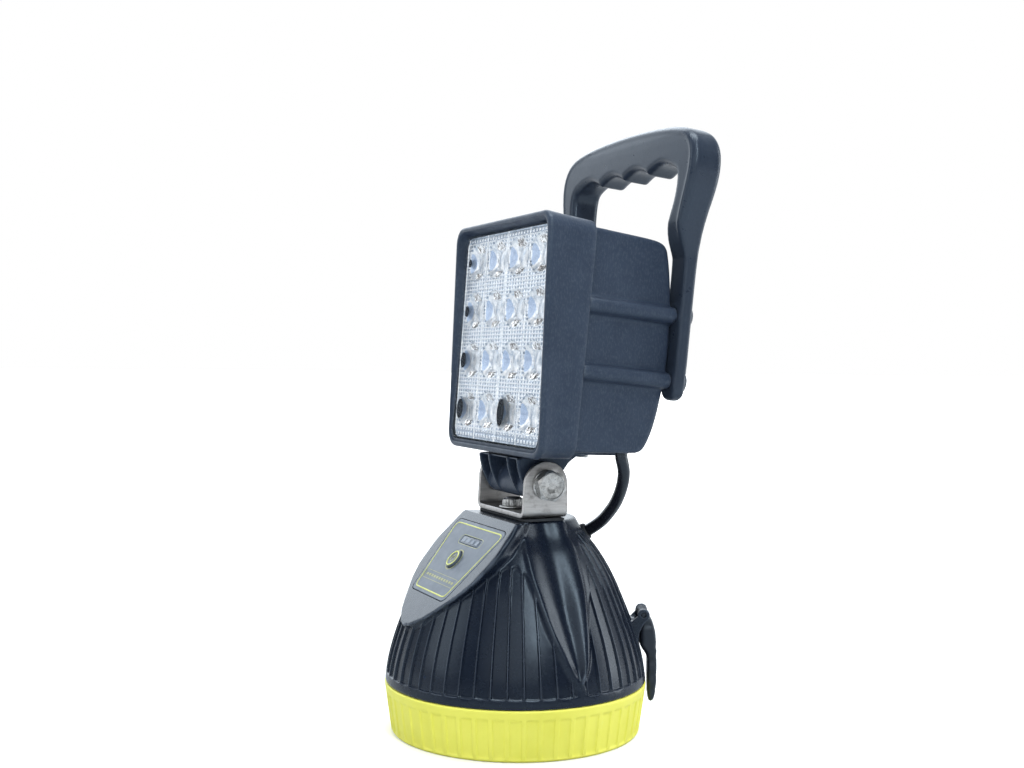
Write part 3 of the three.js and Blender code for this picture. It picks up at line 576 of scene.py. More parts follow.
# ------------------------------------------------------------------ base shell
DZ = [23.7, 26, 33.5, 41, 49, 56.5, 64, 72, 79.5, 87, 95, 99.4, 100.5, 101.0]
DR = [62.0, 61.8, 60.7, 58.9, 56.4, 53.5, 50.4, 46.9, 42.8, 37.8, 31.2, 28.6, 27.9, 26.9]
dome = pchip(DZ, DR)
BA = [(66, 101.4, 34.0), (61, 95, 39.0), (54, 87.7, 44.6), (46.5, 80, 48.0), (42, 75.6, 49.9), (33.5, 70, 51.2), (23.3, 64.4, 51.9), (13.5, 58.5, 53.9), (5, 54.8, 56.2), (0, 53.8, 56.8)]
lip = pchip([50, 53.8, 58.5, 64.4, 70, 75.6, 80, 87.7, 95, 101.5], [2.6, 3.2, 3.0, 3.0, 3.9, 4.9, 5.4, 7.0, 7.6, 6.6])
rb_z = pchip([40, 53.8, 58.5, 64.4, 70, 75.6, 80, 87.7, 95, 101.5], [58, 56.8, 53.9, 51.9, 51.2, 49.9, 48.0, 44.6, 39.0, 34.0])
SHIELD = [(math.radians(a) * r, z * 1.2) for a, z, r in BA]
SHIELD = [(SHIELD[0][0], 140.0)] + SHIELD[:-1] + [(0, SHIELD[-1][1])] + [(-s, z) for s, z in SHIELD[:-1][::-1]] + [(-SHIELD[0][0], 140.0)]
flute_top = pchip([0, 10, 20, 28, 36, 43, 50, 57, 61, 65, 69, 73, 79, 82, 85, 89, 92, 93.5, 95, 97, 100, 105, 112, 120, 126, 131, 180],
                  [52.2, 54.5, 60.3, 64.8, 70.2, 75.0, 79.2, 82.2, 83.2, 83.3, 81.8, 78.4, 70.6, 62, 52.6, 42, 36.4, 33.4, 36, 40, 47, 61, 75, 88, 94.5, 96.6, 96.6])
but_front = pchip([30, 33, 36.4, 52.6, 70.6, 78.4, 90, 97.7, 101.5], [94, 93.5, 91.9, 84.8, 78.8, 76, 73.2, 72, 71.6])
but_rear = pchip([30, 33, 40, 49.1, 63.4, 80, 98, 101.5], [93, 93.8, 97.0, 99.3, 102.6, 107, 113, 114])
cha_c = pchip([36, 38.7, 50, 63, 80, 98, 101.5], [93.8, 94.0, 95.4, 97.2, 99.6, 102.2, 102.6])
cha_w = pchip([36, 38.7, 44, 52, 63, 80, 98, 101.5], [0.2, 1.2, 2.6, 3.7, 4.6, 6.4, 9.4, 10.0])
N_FL = 52


def shell_r(az, z, flutes=True):
    a = np.abs(az)
    P = dome(z)
    # shield that carries the panel
    Sx = np.radians(a) * rb_z(z)
    D = poly_sdf(Sx, z * 1.2, SHIELD)
    w = 3.2 + 5.3 * ss((z - 74) / 14)
    fall = 1 - ss(np.clip(D, 0, None) / w)
    fall = np.where(z * 1.2 > 139, np.where(np.abs(Sx) < SHIELD[1][0], 1, fall), fall)
    r = P + lip(z) * fall
    # scooped tongue: a soft front ridge, a thin rear ridge, a valley between them that ends in a rounded tip
    af, ar = but_front(z), but_rear(z)
    wid = np.maximum(ar - af, 0.4)
    q = (a - af) / wid
    mmw = np.radians(wid) * P
    outd = np.maximum(np.maximum(-q, q - 1), 0) * mmw
    # flutes: shallow channels between thin standing ridges, arched at both ends
    pitch = 360.0 / N_FL
    if flutes:
        ph = (az / pitch + 0.5) % 1.0 - 0.5
        arc = np.abs(ph) * np.radians(pitch) * P
        ridge = 1 - ss((arc - 0.2) / 0.45)
        zt = flute_top(a)
        bow = (1 - 2 * np.abs(ph))**2
        soft = 1.1 + 1.4 * ss((a - 96) / 20)
        m = ss((zt - 1.3 * bow - z) / soft) * ss((z - 27.7 - 0.4 * bow) / 0.6)
        m = m * ss((outd - 1.6) / 2.0)
        depth = (1.0 - 0.3 * ss((z - 60) / 35)) * (0.95 + 0.05 * (1 - bow))
        r = r - depth * m * (1 - ridge)
    top = ss((z - 30.5) / 4.5)
    qc = np.clip(q, 0, 1)
    ridge_h = (0.55 + 1.05 * ss((q - 0.5) / 0.4)) * top
    valley = (1.3 + 2.0 * ss((z - 40) / 26)) * ss((z - 34.0) / 5.0)
    prof = np.where((q > 0) & (q < 1), ridge_h - valley * np.sin(np.pi * qc**0.85)**1.5, ridge_h * (1 - ss(outd / 2.6)))
    r = r + prof
    # rounded lip at the foot of the shell
    r = r - 0.5 * ss((25.0 - z) / 1.4)
    # the panel plane cuts the shield
    ca = np.cos(np.radians(np.clip(a, 0, 86)))
    rp = (105.1 - 0.9 * z) / ca
    rp = np.where(a < 86, rp, 200.0)
    r = smin(r, rp, 1.1)
    return r


def build_shell():
    off = np.array([0, .03, .065, .10, .14, .20, .28, .38, .5, .62, .72, .80, .86, .90, .935, .97])
    az = np.concatenate([(k + off) * 360.0 / N_FL for k in range(N_FL)])
    az = (az + 180) % 360 - 180
    az = np.sort(az)
    zs = np.concatenate([[23.9, 24.2, 24.7, 25.4, 26.4, 27.4, 27.85, 28.1, 28.35, 28.6], np.linspace(29.3, 52, 30), np.linspace(52.6, 99.4, 76)[:], [99.9, 100.3, 100.6, 100.82, 100.95, 101.0]])
    A, Zg = np.meshgrid(az, zs)
    Rr = shell_r(A, Zg)
    n = len(az)
    rings = []
    def ring(rr, zz):
        t = np.radians(az)
        rr = np.broadcast_to(rr, (n,)); zz = np.broadcast_to(zz, (n,))
        return np.c_[rr * np.sin(t), -rr * np.cos(t), zz]
    # inside, from the middle of the cavity roof down to the skirt
    def inner(zz):
        rr = np.minimum(dome(np.array(zz)) - 3.0, 60.0)
        ca = np.cos(np.radians(np.clip(np.abs(az), 0, 86)))
        rp = np.where(np.abs(az) < 86, (105.1 - 0.9 * zz - 4.6) / ca, 200)
        return np.maximum(np.minimum(rr, rp), 5.0)
    rings.append(ring(4.3, 97.0))
    for zz in (97.0, 92, 86, 79, 70, 60, 50, 40, 30, 26):
        rings.append(ring(inner(zz) if zz < 97 else np.minimum(inner(97.0), 25), zz))
    rings += [ring(53.2, 26.0), ring(53.2, 3.3), ring(53.5, 3.0), ring(55.3, 3.0), ring(55.6, 3.3), ring(55.6, 23.7), ring(60.8, 23.7)]
    for i, zz in enumerate(zs):
        rings.append(ring(Rr[i], zz))
    # the deck, back in to the bolt hole
    last = Rr[-1]
    for t in (0.97, 0.85, 0.6, 0.35):
        rings.append(ring(4.3 + (last - 4.3) * t, 101.0))
    rings.append(ring(4.3, 101.0))
    V = np.concatenate(rings)
    R = len(rings)
    F = []
    for k in range(R):
        a, b = k * n, ((k + 1) % R) * n
        i = np.arange(n); j = (i + 1) % n
        F.append(np.stack([a + i, a + j, b + j, b + i], 1))
    F = np.concatenate(F)
    # the bolt hole follows the swivel axis
    hole = np.zeros(len(V), bool)
    hole[:n] = True; hole[-n:] = True
    V[hole, 1] += -1.5
    return V, F


def label_outline(g=0.0, r=4.5, top=29.9, bot=-11.9, wt=30.0, wb=20.4, n=7):
    top, bot, wt, wb = top + g, bot - g, wt + g, wb + g
    c = [(wb, bot), (wt, top), (-wt, top), (-wb, bot)]
    out = []
    for i in range(4):
        p, a, b = np.array(c[i]), np.array(c[i - 1]), np.array(c[(i + 1) % 4])
        ua, ub = (a - p) / np.linalg.norm(a - p), (b - p) / np.linalg.norm(b - p)
        t = r / math.tan(math.acos(float(ua @ ub)) / 2)
        p0, p1 = p + ua * t, p + ub * t
        for k in range(n + 1):
            s = k / n
            out.append(tuple((1 - s)**2 * p0 + 2 * s * (1 - s) * p + s * s * p1))
    return out


V, F = build_shell()
shell = add('base_shell_v', V, F, 'base_plastic', None, None, smooth_deg=None)
Vc, Fc = prism(label_outline(0.35), -0.9, 3.0)
cutter = add('cut', Vc, Fc, 'base_plastic', None, None, to=FW, smooth_deg=None)
boolean(shell, cutter)
shell.data.shade_smooth()
shell.data.set_sharp_from_angle(angle=math.radians(50))
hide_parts('base_shell')
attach(shell, 'base')


# bumper ring
def build_ring():
    off = np.array([0, .06, .11, .15, .19, .28, .42, .58, .72, .81, .85, .89, .94])
    az = np.sort(np.concatenate([(k + off) * 360.0 / N_FL for k in range(N_FL)]))
    t = np.radians(az); n = len(az)
    pitch = 360.0 / N_FL
    ph = np.abs((az / pitch + 0.5) % 1.0 - 0.5)
    panel = ss((ph - 0.11) / 0.06)
    rings = []
    def ring(rr, zz):
        rr = np.broadcast_to(rr, (n,))
        return np.c_[rr * np.sin(t), -rr * np.cos(t), np.full(n, zz)]
    R = lambda z: 58.8 + (62.25 - 58.8) * ((z / 23.5) ** 0.92)
    rings.append(ring(56.0, 0.5)); rings.append(ring(56.5, 0.0)); rings.append(ring(57.7, 0.0))
    rings.append(ring(58.3, 0.15)); rings.append(ring(58.65, 0.5)); rings.append(ring(R(1.0), 1.0))
    for z in [1.4, 1.8, 2.4, 4, 6, 8, 10, 12, 14, 16, 17.5, 18.3, 18.8, 19.2, 19.6]:
        m = ss((z - 1.2) / 1.0) * ss((19.5 - z) / 1.0)
        rings.append(ring(R(z) - 0.65 * m * panel, z))
    for r, z in [(R(20.5), 20.5), (R(22), 22), (R(22.7), 22.7), (R(23.1) - 0.12, 23.1), (R(23.4) - 0.4, 23.4), (R(23.5) - 0.8, 23.5), (60.5, 23.5), (56.3, 23.5), (56.0, 23.2)]:
        rings.append(ring(r, z))
    V = np.concatenate(rings); Rn = len(rings)
    F = []
    for k in range(Rn):
        a, b = k * n, ((k + 1) % Rn) * n
        i = np.arange(n); j = (i + 1) % n
        F.append(np.stack([a + i, a + j, b + j, b + i], 1))
    return V, np.concatenate(F)


V, F = build_ring()
add('base_ring_v', V, F, 'ring_rubber', 'base', 'ring_rubber', ['base_ring'], smooth_deg=55)

# ------------------------------------------------------------------ panel film with its printed outline, button and lights
lab = label_outline(0.0)
hole = [(4.95 * math.cos(a), 8.9 + 4.95 * math.sin(a)) for a in np.linspace(0, 2 * math.pi, 40, endpoint=False)]
Vl, Fl = prism(lab, -0.6, 0.1)
film = add('panel_film_v', Vl, Fl, 'panel_film', None, None, to=FW)
Vc, Fc = prism(hole, -3, 3)
boolean(film, add('cut', Vc, Fc, 'panel_film', None, None, to=FW))
Vc, Fc = prism(rrect(21.6, 4.4, 1.2, 1.6, 20.0), -3, 3)
boolean(film, add('cut', Vc, Fc, 'panel_film', None, None, to=FW))
b = film.modifiers.new('b', 'BEVEL'); b.width = 0.25 * MM; b.segments = 2; b.limit_method = 'ANGLE'
bake(film)
film.data.shade_smooth(); film.data.set_sharp_from_angle(angle=math.radians(12))
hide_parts('panel_label'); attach(film, 'base')


def strip(outline, width, z0, z1):
    """A closed raised band along an outline."""
    o = np.asarray(outline, float); n = len(o)
    nx = np.roll(o, -1, 0) - np.roll(o, 1, 0)
    nx /= np.linalg.norm(nx, axis=1, keepdims=True)
    nr = np.c_[nx[:, 1], -nx[:, 0]]
    rings = [np.c_[o + nr * w, np.full(n, z)] for w, z in ((-width / 2, z0), (-width / 2, z1 - 0.03), (-width / 2 + 0.08, z1), (width / 2 - 0.08, z1), (width / 2, z1 - 0.03), (width / 2, z0))]
    V = np.concatenate(rings); F = []
    for k in range(len(rings)):
        a, b2 = k * n, ((k + 1) % len(rings)) * n
        for i in range(n):
            j = (i + 1) % n
            F.append([a + i, b2 + i, b2 + j, a + j])
    return V, F


def disc_ring(r0, r1, z0, z1, cx, cy, n=48):
    c = [(cx + (r0 + r1) / 2 * math.cos(a), cy + (r0 + r1) / 2 * math.sin(a)) for a in np.linspace(0, 2 * math.pi, n, endpoint=False)]
    return strip(c, r1 - r0, z0, z1)


prints = [strip(label_outline(-2.1, r=3.2), 0.62, 0.05, 0.2)]
prints.append(strip(rrect(25.5, 5.2, 2.3, 1.6, 20.0), 0.24, 0.05, 0.16))
prints.append(strip(rrect(37.6, 4.6, 1.2, 0.2, -2.3), 0.22, 0.05, 0.16))
for k in range(11):                                            # plain tick marks in the lower box
    prints.append(prism(rrect(2.0, 1.3, 0.3, (k - 5) * 3.1 + 0.2, -2.3, 3), 0.05, 0.13))
prints.append(disc_ring(5.3, 5.9, 0.02, 0.12, 0, 8.9))
V, F, K = merge(prints)
nf0 = sum(len(q[1]) for q in prints[:1])
add('panel_print_v', V, F, None, 'base', 'panel_film', to=FW, smooth_deg=40, mats=['yellow_print', 'ochre_print'], fmat=[0] * nf0 + [1] * (len(F) - nf0))

# indicator window with four lights behind it
Vw, Fw = prism(rrect(21.2, 4.0, 1.0, 1.6, 20.0), -3.0, 0.06)
add('indicator_window_v', Vw, Fw, 'indicator_clear', 'base', 'indicator_clear', ['indicator_window'], to=FW, bevel=(0.2, 2))
parts = []
for k in range(4):
    parts.append(prism(rrect(2.9, 2.3, 0.4, 1.6 + (k - 1.5) * 5.0, 20.0, 4), 0.02, 0.2))
V, F, K = merge(parts)
add('indicator_lights_v', V, F, 'pale_print', 'base', 'indicator_clear', to=FW, smooth_deg=40)

# push button: dished cap with a plain power mark
prof = [(0, -4.6), (1.4, -4.6), (1.4, -3.4), (3.0, -3.4), (3.0, -1.9), (4.7, -1.9), (4.7, 0.7), (4.62, 1.0), (4.4, 1.2), (4.1, 1.27), (3.5, 1.25), (2.4, 1.16), (1.2, 1.1), (0, 1.08)]
Vb, Fb = revolve(prof, 56)
Vb = Vb + np.array([0, 8.9, 0])
arc_pts = [(1.75 * math.sin(a), 8.9 + 1.75 * math.cos(a)) for a in np.linspace(math.radians(35), math.radians(325), 26)]
o = np.asarray(arc_pts)
tn = np.gradient(o, axis=0); tn /= np.linalg.norm(tn, axis=1, keepdims=True)
nr = np.c_[tn[:, 1], -tn[:, 0]]
ringsl = [np.c_[o + nr * w, np.full(len(o), z)] for w, z in ((-0.17, 1.0), (-0.17, 1.24), (0.17, 1.24), (0.17, 1.0))]
n = len(o); Vi = np.concatenate(ringsl); Fi = []
for k in range(4):
    a, b2 = k * n, ((k + 1) % 4) * n
    for i in range(n - 1):
        Fi.append([a + i, b2 + i, b2 + i + 1, a + i + 1])
Fi += [[0, n, 2 * n, 3 * n], [n - 1, 4 * n - 1, 3 * n - 1, 2 * n - 1]]
bar = prism([(-0.17, 9.2), (0.17, 9.2), (0.17, 11.2), (-0.17, 11.2)], 1.0, 1.24)
rg_ = disc_ring(3.5, 4.25, 1.1, 1.4, 0, 8.9)
V, F, K = merge([(Vb, Fb, 0), (Vi, Fi, 2), (bar[0], bar[1], 2), (rg_[0], rg_[1], 1)])
add('power_button_v', V, F, None, 'button', 'base_plastic', ['power_button'], to=FW, smooth_deg=35, mats=['panel_film', 'yellow_print', 'ochre_print'], fmat=K)

# ------------------------------------------------------------------ holes in the shell, port boss
def cyl_between(p0, p1, r, n=40):
    p0, p1 = np.asarray(p0, float), np.asarray(p1, float)
    d = (p1 - p0) / np.linalg.norm(p1 - p0)
    a = np.cross(d, [0, 0, 1.0]) if abs(d[2]) < 0.9 else np.cross(d, [1.0, 0, 0])
    a /= np.linalg.norm(a); b = np.cross(d, a)
    t = np.linspace(0, 2 * math.pi, n, endpoint=False)
    c = np.cos(t)[:, None] * a + np.sin(t)[:, None] * b
    V, F = loft([p0 + r * c, p1 + r * c])
    return V, F


def profile_along(p0, axis, prof, n=40, closed=False):
    """(r, t) profile revolved about the line from p0 along axis."""
    V, F = revolve(prof, n, closed)
    p0, d = np.asarray(p0, float), np.asarray(axis, float)
    d = d / np.linalg.norm(d)
    a = np.cross([0, 0, 1.0], d) if abs(d[2]) < 0.9 else np.cross([0, 1.0, 0], d)
    a /= np.linalg.norm(a); b = np.cross(d, a)
    return p0 + V[:, :1] * a + V[:, 1:2] * b + V[:, 2:3] * d, F


GA, GB = np.array([9.6, 38.4, 95.8]), np.array([1.4, 28.5, 88.4])
GD = (GB - GA) / np.linalg.norm(GB - GA)
shell_holes = [cyl_between(GA + GD * 1, GA + GD * 16, 4.25), cyl_between(PW([0, 46, 46])[0], PW([0, 64, 46])[0], 4.7)]
for Vc, Fc in shell_holes:
    boolean(shell, add('cut', Vc, Fc, 'base_plastic', None, None, smooth_deg=None))
shell.data.shade_smooth(); shell.data.set_sharp_from_angle(angle=math.radians(50))

# boss round the charging port, with the two lugs of the flap
Vb, Fb = profile_along(PW([0, 0, 46])[0], PW([0, 1, 0])[0], [(4.7, 52.0), (4.7, 57.9), (5.0, 58.4), (6.0, 58.5), (6.4, 58.1), (6.5, 57.4), (6.9, 55.6), (6.9, 52.0)], 44, True)


LUG = [(57.9, 56.6), (59.0, 57.9), (60.8, 58.2), (62.6, 57.4), (63.4, 55.6), (62.9, 53.4), (60.6, 51.2), (58.5, 47.0), (57.5, 42.0), (54.0, 42.0), (54.0, 50.5), (56.0, 53.0), (57.6, 54.6)]


def f_lug(x, y, z):
    lug = smax(poly_sdf(y, z, LUG), np.abs(np.abs(x) - 7.3) - 1.0, 0.5)
    lug = np.maximum(lug, -(np.sqrt((y - 60.5)**2 + (z - 55.3)**2) - 1.25))
    pad = sd_box(x, y, z, (0, 53.6, 45.6), (8.2, 4.7, 6.6), 1.6) + 0.18 * np.cos(x * 2 * np.pi / 2.7) * ss((y - 56) / 1.0)
    pad = np.maximum(pad, -(np.sqrt(x * x + (z - 46)**2) - 4.75))
    # room for the hinge roll
    pad = smax(pad, -(np.sqrt((y - 60.5)**2 + (z - 55.3)**2) - 3.3), 0.4)
    return smin(lug, pad, 0.9)


Vq, Fq = surface_nets(f_lug, (-9.2, 48, 37.6), (9.2, 64.5, 59), 0.42)
add('port_boss_v', Vb, Fb, 'base_plastic', 'base', 'base_plastic', smooth_deg=40)
add('port_lugs_v', Vq, Fq, 'base_plastic', 'base', 'base_plastic', to=PW, smooth_deg=50)


def f_cover(x, y, z):
    """Rubber port cover in the port frame: knuckle, ridged knob, waist, body, grooved pull tab."""
    ax = np.abs(x)
    kn = np.sqrt((y - 60.5)**2 + (z - 55.3)**2) - 2.6
    kn = smax(kn, ax - 5.85, 0.6)
    side = poly_sdf(y, z, [(59.4, 53.6), (61.6, 55.6), (63.4, 54.6), (64.9, 52.0), (65.6, 50.0), (66.5, 46.5), (66.9, 42.0), (66.7, 37.4), (65.4, 35.0), (63.2, 34.6), (61.6, 36.6), (60.0, 38.9), (59.15, 40.6), (59.15, 51.6)])
    wid = 5.55 - 0.75 * np.exp(-((z - 50.4) / 1.8)**2) - 0.5 * ss((38 - z) / 4)
    body = smax(side, ax - wid, 2.4)
    tab_side = poly_sdf(y, z, [(62.8, 38), (66.6, 38), (67.2, 33), (67.2, 24), (66.7, 18), (65.8, 14.4), (64.6, 13.4), (63.5, 14.0), (63.0, 17.5), (62.8, 26)])
    tw = 4.75 - 0.6 * ss((17 - z) / 4) + 0.25 * np.sin(z * 0.9)
    tab = smax(tab_side, ax - tw, 1.5)
    d = smin(kn, body, 1.2)
    d = smin(d, tab, 1.6)
    # finger ridges on the tab and the knob
    g1 = 0.28 * (0.5 + 0.5 * np.cos(z * 2 * np.pi / 1.75)) * ss((31 - z) / 1.5) * ss((z - 15.2) / 1.2) * ss((y - 64.6) / 1.2) * ss((4.0 - ax) / 0.8)
    g2 = 0.34 * (0.5 + 0.5 * np.cos(x * 2 * np.pi / 1.9)) * ss((z - 53.6) / 1.0)
    d = d + g1 + g2
    sp = np.sqrt(x * x + (z - 46)**2) - 3.45
    sp = smax(sp, np.abs(y - 58.4) - 1.35, 0.5)
    d = smin(d, sp, 0.3)
    pin = np.maximum(np.sqrt((y - 60.5)**2 + (z - 55.3)**2) - 1.02, ax - 7.5)
    return np.minimum(d, pin)


V, F = surface_nets(f_cover, (-8.2, 56.4, 12.4), (8.2, 68.2, 58.8), 0.36)
add('port_cover_v', V, F, 'cover_rubber', 'flap', 'cover_rubber', ['port_cover'], to=PW, smooth_deg=60)

# socket behind the cover
Vs, Fs = profile_along(PW([0, 0, 46])[0], PW([0, 1, 0])[0], [(0, 44.5), (4.25, 44.5), (4.25, 55.0), (4.0, 55.4), (3.0, 55.4), (2.75, 55.1), (2.75, 47.0), (0, 47.0)], 40)
Vp, Fp = profile_along(PW([0, 0, 46])[0], PW([0, 1, 0])[0], [(0, 46.8), (0.95, 46.8), (0.95, 53.2), (0.6, 53.8), (0, 53.9)], 20)
V, F, K = merge([(Vs, Fs, 0), (Vp, Fp, 1)])
add('charge_socket_v', V, F, None, 'base', 'black_rubber', ['charge_socket'], smooth_deg=40, mats=['black_rubber', 'zinc_steel'], fmat=K)

# ------------------------------------------------------------------ underside: plate, pad, screws
Vb, Fb = revolve([(0, 2.0), (52.4, 2.0), (53.0, 2.5), (53.0, 5.2), (52.6, 5.6), (0, 5.6)], 96)
plate = add('bottom_plate_v', Vb, Fb, 'inner_plastic', None, None)
for dg in (90, 210, 330):
    x, y = 43.5 * math.cos(math.radians(dg)), 43.5 * math.sin(math.radians(dg))
    Vc, Fc = revolve([(0, 1), (3.6, 1), (3.6, 4.0), (1.9, 4.0), (1.9, 7), (0, 7)], 28)
    boolean(plate, add('cut', Vc + np.array([x, y, 0]), Fc, 'inner_plastic', None, None))
plate.data.shade_smooth(); plate.data.set_sharp_from_angle(angle=math.radians(35))
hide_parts('bottom_plate'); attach(plate, 'base')
pad_prof = [(0, 0.35)]
for k in range(1, 9):
    r = 5.4 * k
    pad_prof += [(r - 1.6, 0.35), (r - 1.2, 0.0), (r + 1.2, 0.0), (r + 1.6, 0.35)] if k < 9 else []
pad_prof += [(46.6, 0.0), (49.4, 0.0), (50.0, 0.5), (50.0, 1.9), (0, 1.9)]
V, F = revolve(pad_prof, 96)
add('foot_pad_v', V, F, 'black_rubber', 'base', 'black_rubber', ['foot_pad'])


def screw_head(r=3.3, h=1.9, shank=1.6, ln=16.0, recess=1.5, star=True):
    """Pan head with a cross recess, axis +Z, head bottom (drive side) at z 0 facing -Z."""
    prof = [(0, 1.0), (recess * 0.75, 1.0), (recess, 0.25), (recess + 0.1, 0.06), (r - 0.9, 0.0), (r - 0.35, 0.16), (r - 0.05, 0.6), (r, 1.0), (r, h - 0.1), (r - 0.1, h), (shank, h), (shank, h + ln - 0.8), (shank - 0.8, h + ln), (0, h + ln)]
    V, F = revolve(prof, 32)
    k = []
    if star:                                                      # cross drive: pull the recess wall in between the wings
        a = np.arctan2(V[:, 1], V[:, 0]); r0 = np.hypot(V[:, 0], V[:, 1])
        m = (V[:, 2] < 1.05) & (r0 < recess + 0.05) & (r0 > 0.1)
        s = 0.45 + 0.55 * np.clip(np.cos(2 * a)**2 * 1.6 - 0.35, 0, 1)
        V[m, 0] *= s[m]; V[m, 1] *= s[m]
    return V, F


for i, dg in enumerate((90, 210, 330)):
    x, y = 43.5 * math.cos(math.radians(dg)), 43.5 * math.sin(math.radians(dg))
    V, F = screw_head()
    add('bottom_screw_%d_v' % (i + 1), V + np.array([x, y, 2.05]), F, 'zinc_steel', 'base', 'zinc_steel', ['bottom_screw_%d' % (i + 1)], smooth_deg=40)

# ------------------------------------------------------------------ deck: pad, swivel bolt, nut, bracket, hinge bolt, nut, washers
def rr_pad(w, y0, y1, r):
    return rrect(w, y1 - y0, r, 0, (y0 + y1) / 2, 6)


pad = add('bracket_pad_v', *prism(rr_pad(53, -8.2, 12.7, 1.2), 101.1, 102.3), 'black_rubber', None, None)
Vc, Fc = cyl_between((0, -1.5, 99), (0, -1.5, 104), 4.3)
boolean(pad, add('cut', Vc, Fc, 'black_rubber', None, None))
b = pad.modifiers.new('b', 'BEVEL'); b.width = 0.25 * MM; b.segments = 2; b.limit_method = 'ANGLE'
bake(pad); pad.data.shade_smooth(); pad.data.set_sharp_from_angle(angle=math.radians(35))
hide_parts('bracket_pad'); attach(pad, 'base')


def hexprism(r, t0, t1, phase=0.0, cham=0.6, n=12, bore=None):
    """Hexagon across corners 2r with chamfered ends (rounded corner lines), along +Z from t0 to t1."""
    m = 6 * n
    t = np.linspace(0, 2 * math.pi, m, endpoint=False)
    hx = r * math.cos(math.pi / 6) / np.cos(((t + math.pi / 6) % (math.pi / 3)) - math.pi / 6)
    hx = np.minimum(hx, r * 0.985)
    rings = []
    def ring(f, z, zc=None):
        rr = f
        return np.c_[rr * np.cos(t + phase), rr * np.sin(t + phase), z]
    rc = r * math.cos(math.pi / 6) * 0.97
    drop = np.clip((hx - rc) * 0.5, 0, None)
    rings = [ring(np.full(m, rc * 0.99), np.full(m, t0)), ring(hx, t0 + drop + 0.02), ring(hx, t1 - drop - 0.02), ring(np.full(m, rc * 0.99), np.full(m, t1))]
    if bore is None:
        return loft(rings)
    rings = [ring(np.full(m, bore + 0.4), np.full(m, t0))] + rings + [ring(np.full(m, bore + 0.4), np.full(m, t1)), ring(np.full(m, bore), np.full(m, t1 - 0.4)), ring(np.full(m, bore), np.full(m, t0 + 0.4))]
    V = np.concatenate(rings); F = []
    R = len(rings)
    for k in range(R):
        a, b2 = k * m, ((k + 1) % R) * m
        for i in range(m):
            j = (i + 1) % m
            F.append([a + i, a + j, b2 + j, b2 + i])
    return V, F


def thread(r, t0, t1, pitch=0.8, n=36, tip=0.5):
    """Closed screw thread drawn as fine rings, along +Z."""
    prof = [(0, t0), (r, t0)]
    z = t0
    while z + pitch < t1 - tip:
        prof += [(r, z + pitch * 0.15), (r - 0.34, z + pitch * 0.5), (r, z + pitch * 0.85)]
        z += pitch
    prof += [(r, t1 - tip), (r - tip * 0.9, t1), (0, t1)]
    return revolve(prof, n)


V1, F1 = hexprism(6.6, 92.4, 97.0)
V2, F2 = thread(3.95, 96.9, 109.9)
V, F, K = merge([(V1, F1), (V2, F2)])
add('pan_bolt_v', V + np.array([0, -1.5, 0]), F, 'dark_steel', 'base', 'zinc_steel', ['pan_bolt'], smooth_deg=32)


def nut_serrated():
    """Flange nut: flange with a raised edge, barrel with vertical serrations, chamfered crown."""
    m = 144
    t = np.linspace(0, 2 * math.pi, m, endpoint=False)
    ser = 0.16 * np.sign(np.sin(t * 36))
    hx = 5.8 * math.cos(math.pi / 6) / np.cos(((t + math.pi / 6) % (math.pi / 3)) - math.pi / 6)
    body = np.minimum(np.maximum(hx, 5.2), 5.65) + ser
    R = lambda r, z: np.c_[r * np.cos(t), r * np.sin(t), np.full(m, z)]
    rings = [R(4.12, 105.2), R(np.full(m, 6.7), 105.2), R(np.full(m, 7.0), 105.4), R(np.full(m, 7.0), 105.8), R(np.full(m, 6.7), 106.05), R(np.full(m, 6.0), 106.15),
             R(body, 106.25), R(body, 108.75), R(np.minimum(body, 5.2), 109.15), R(np.full(m, 5.0), 109.2), R(np.full(m, 4.12), 109.0)]
    V = np.concatenate(rings); F = []
    for k in range(len(rings)):
        a, b2 = k * m, ((k + 1) % len(rings)) * m
        for i in range(m):
            j = (i + 1) % m
            F.append([a + i, a + j, b2 + j, b2 + i])
    return V, F


V, F = nut_serrated()
add('pan_nut_v', V + np.array([0, -1.5, 0]), F, 'zinc_steel', 'yoke', 'zinc_steel', ['pan_nut'], smooth_deg=28)


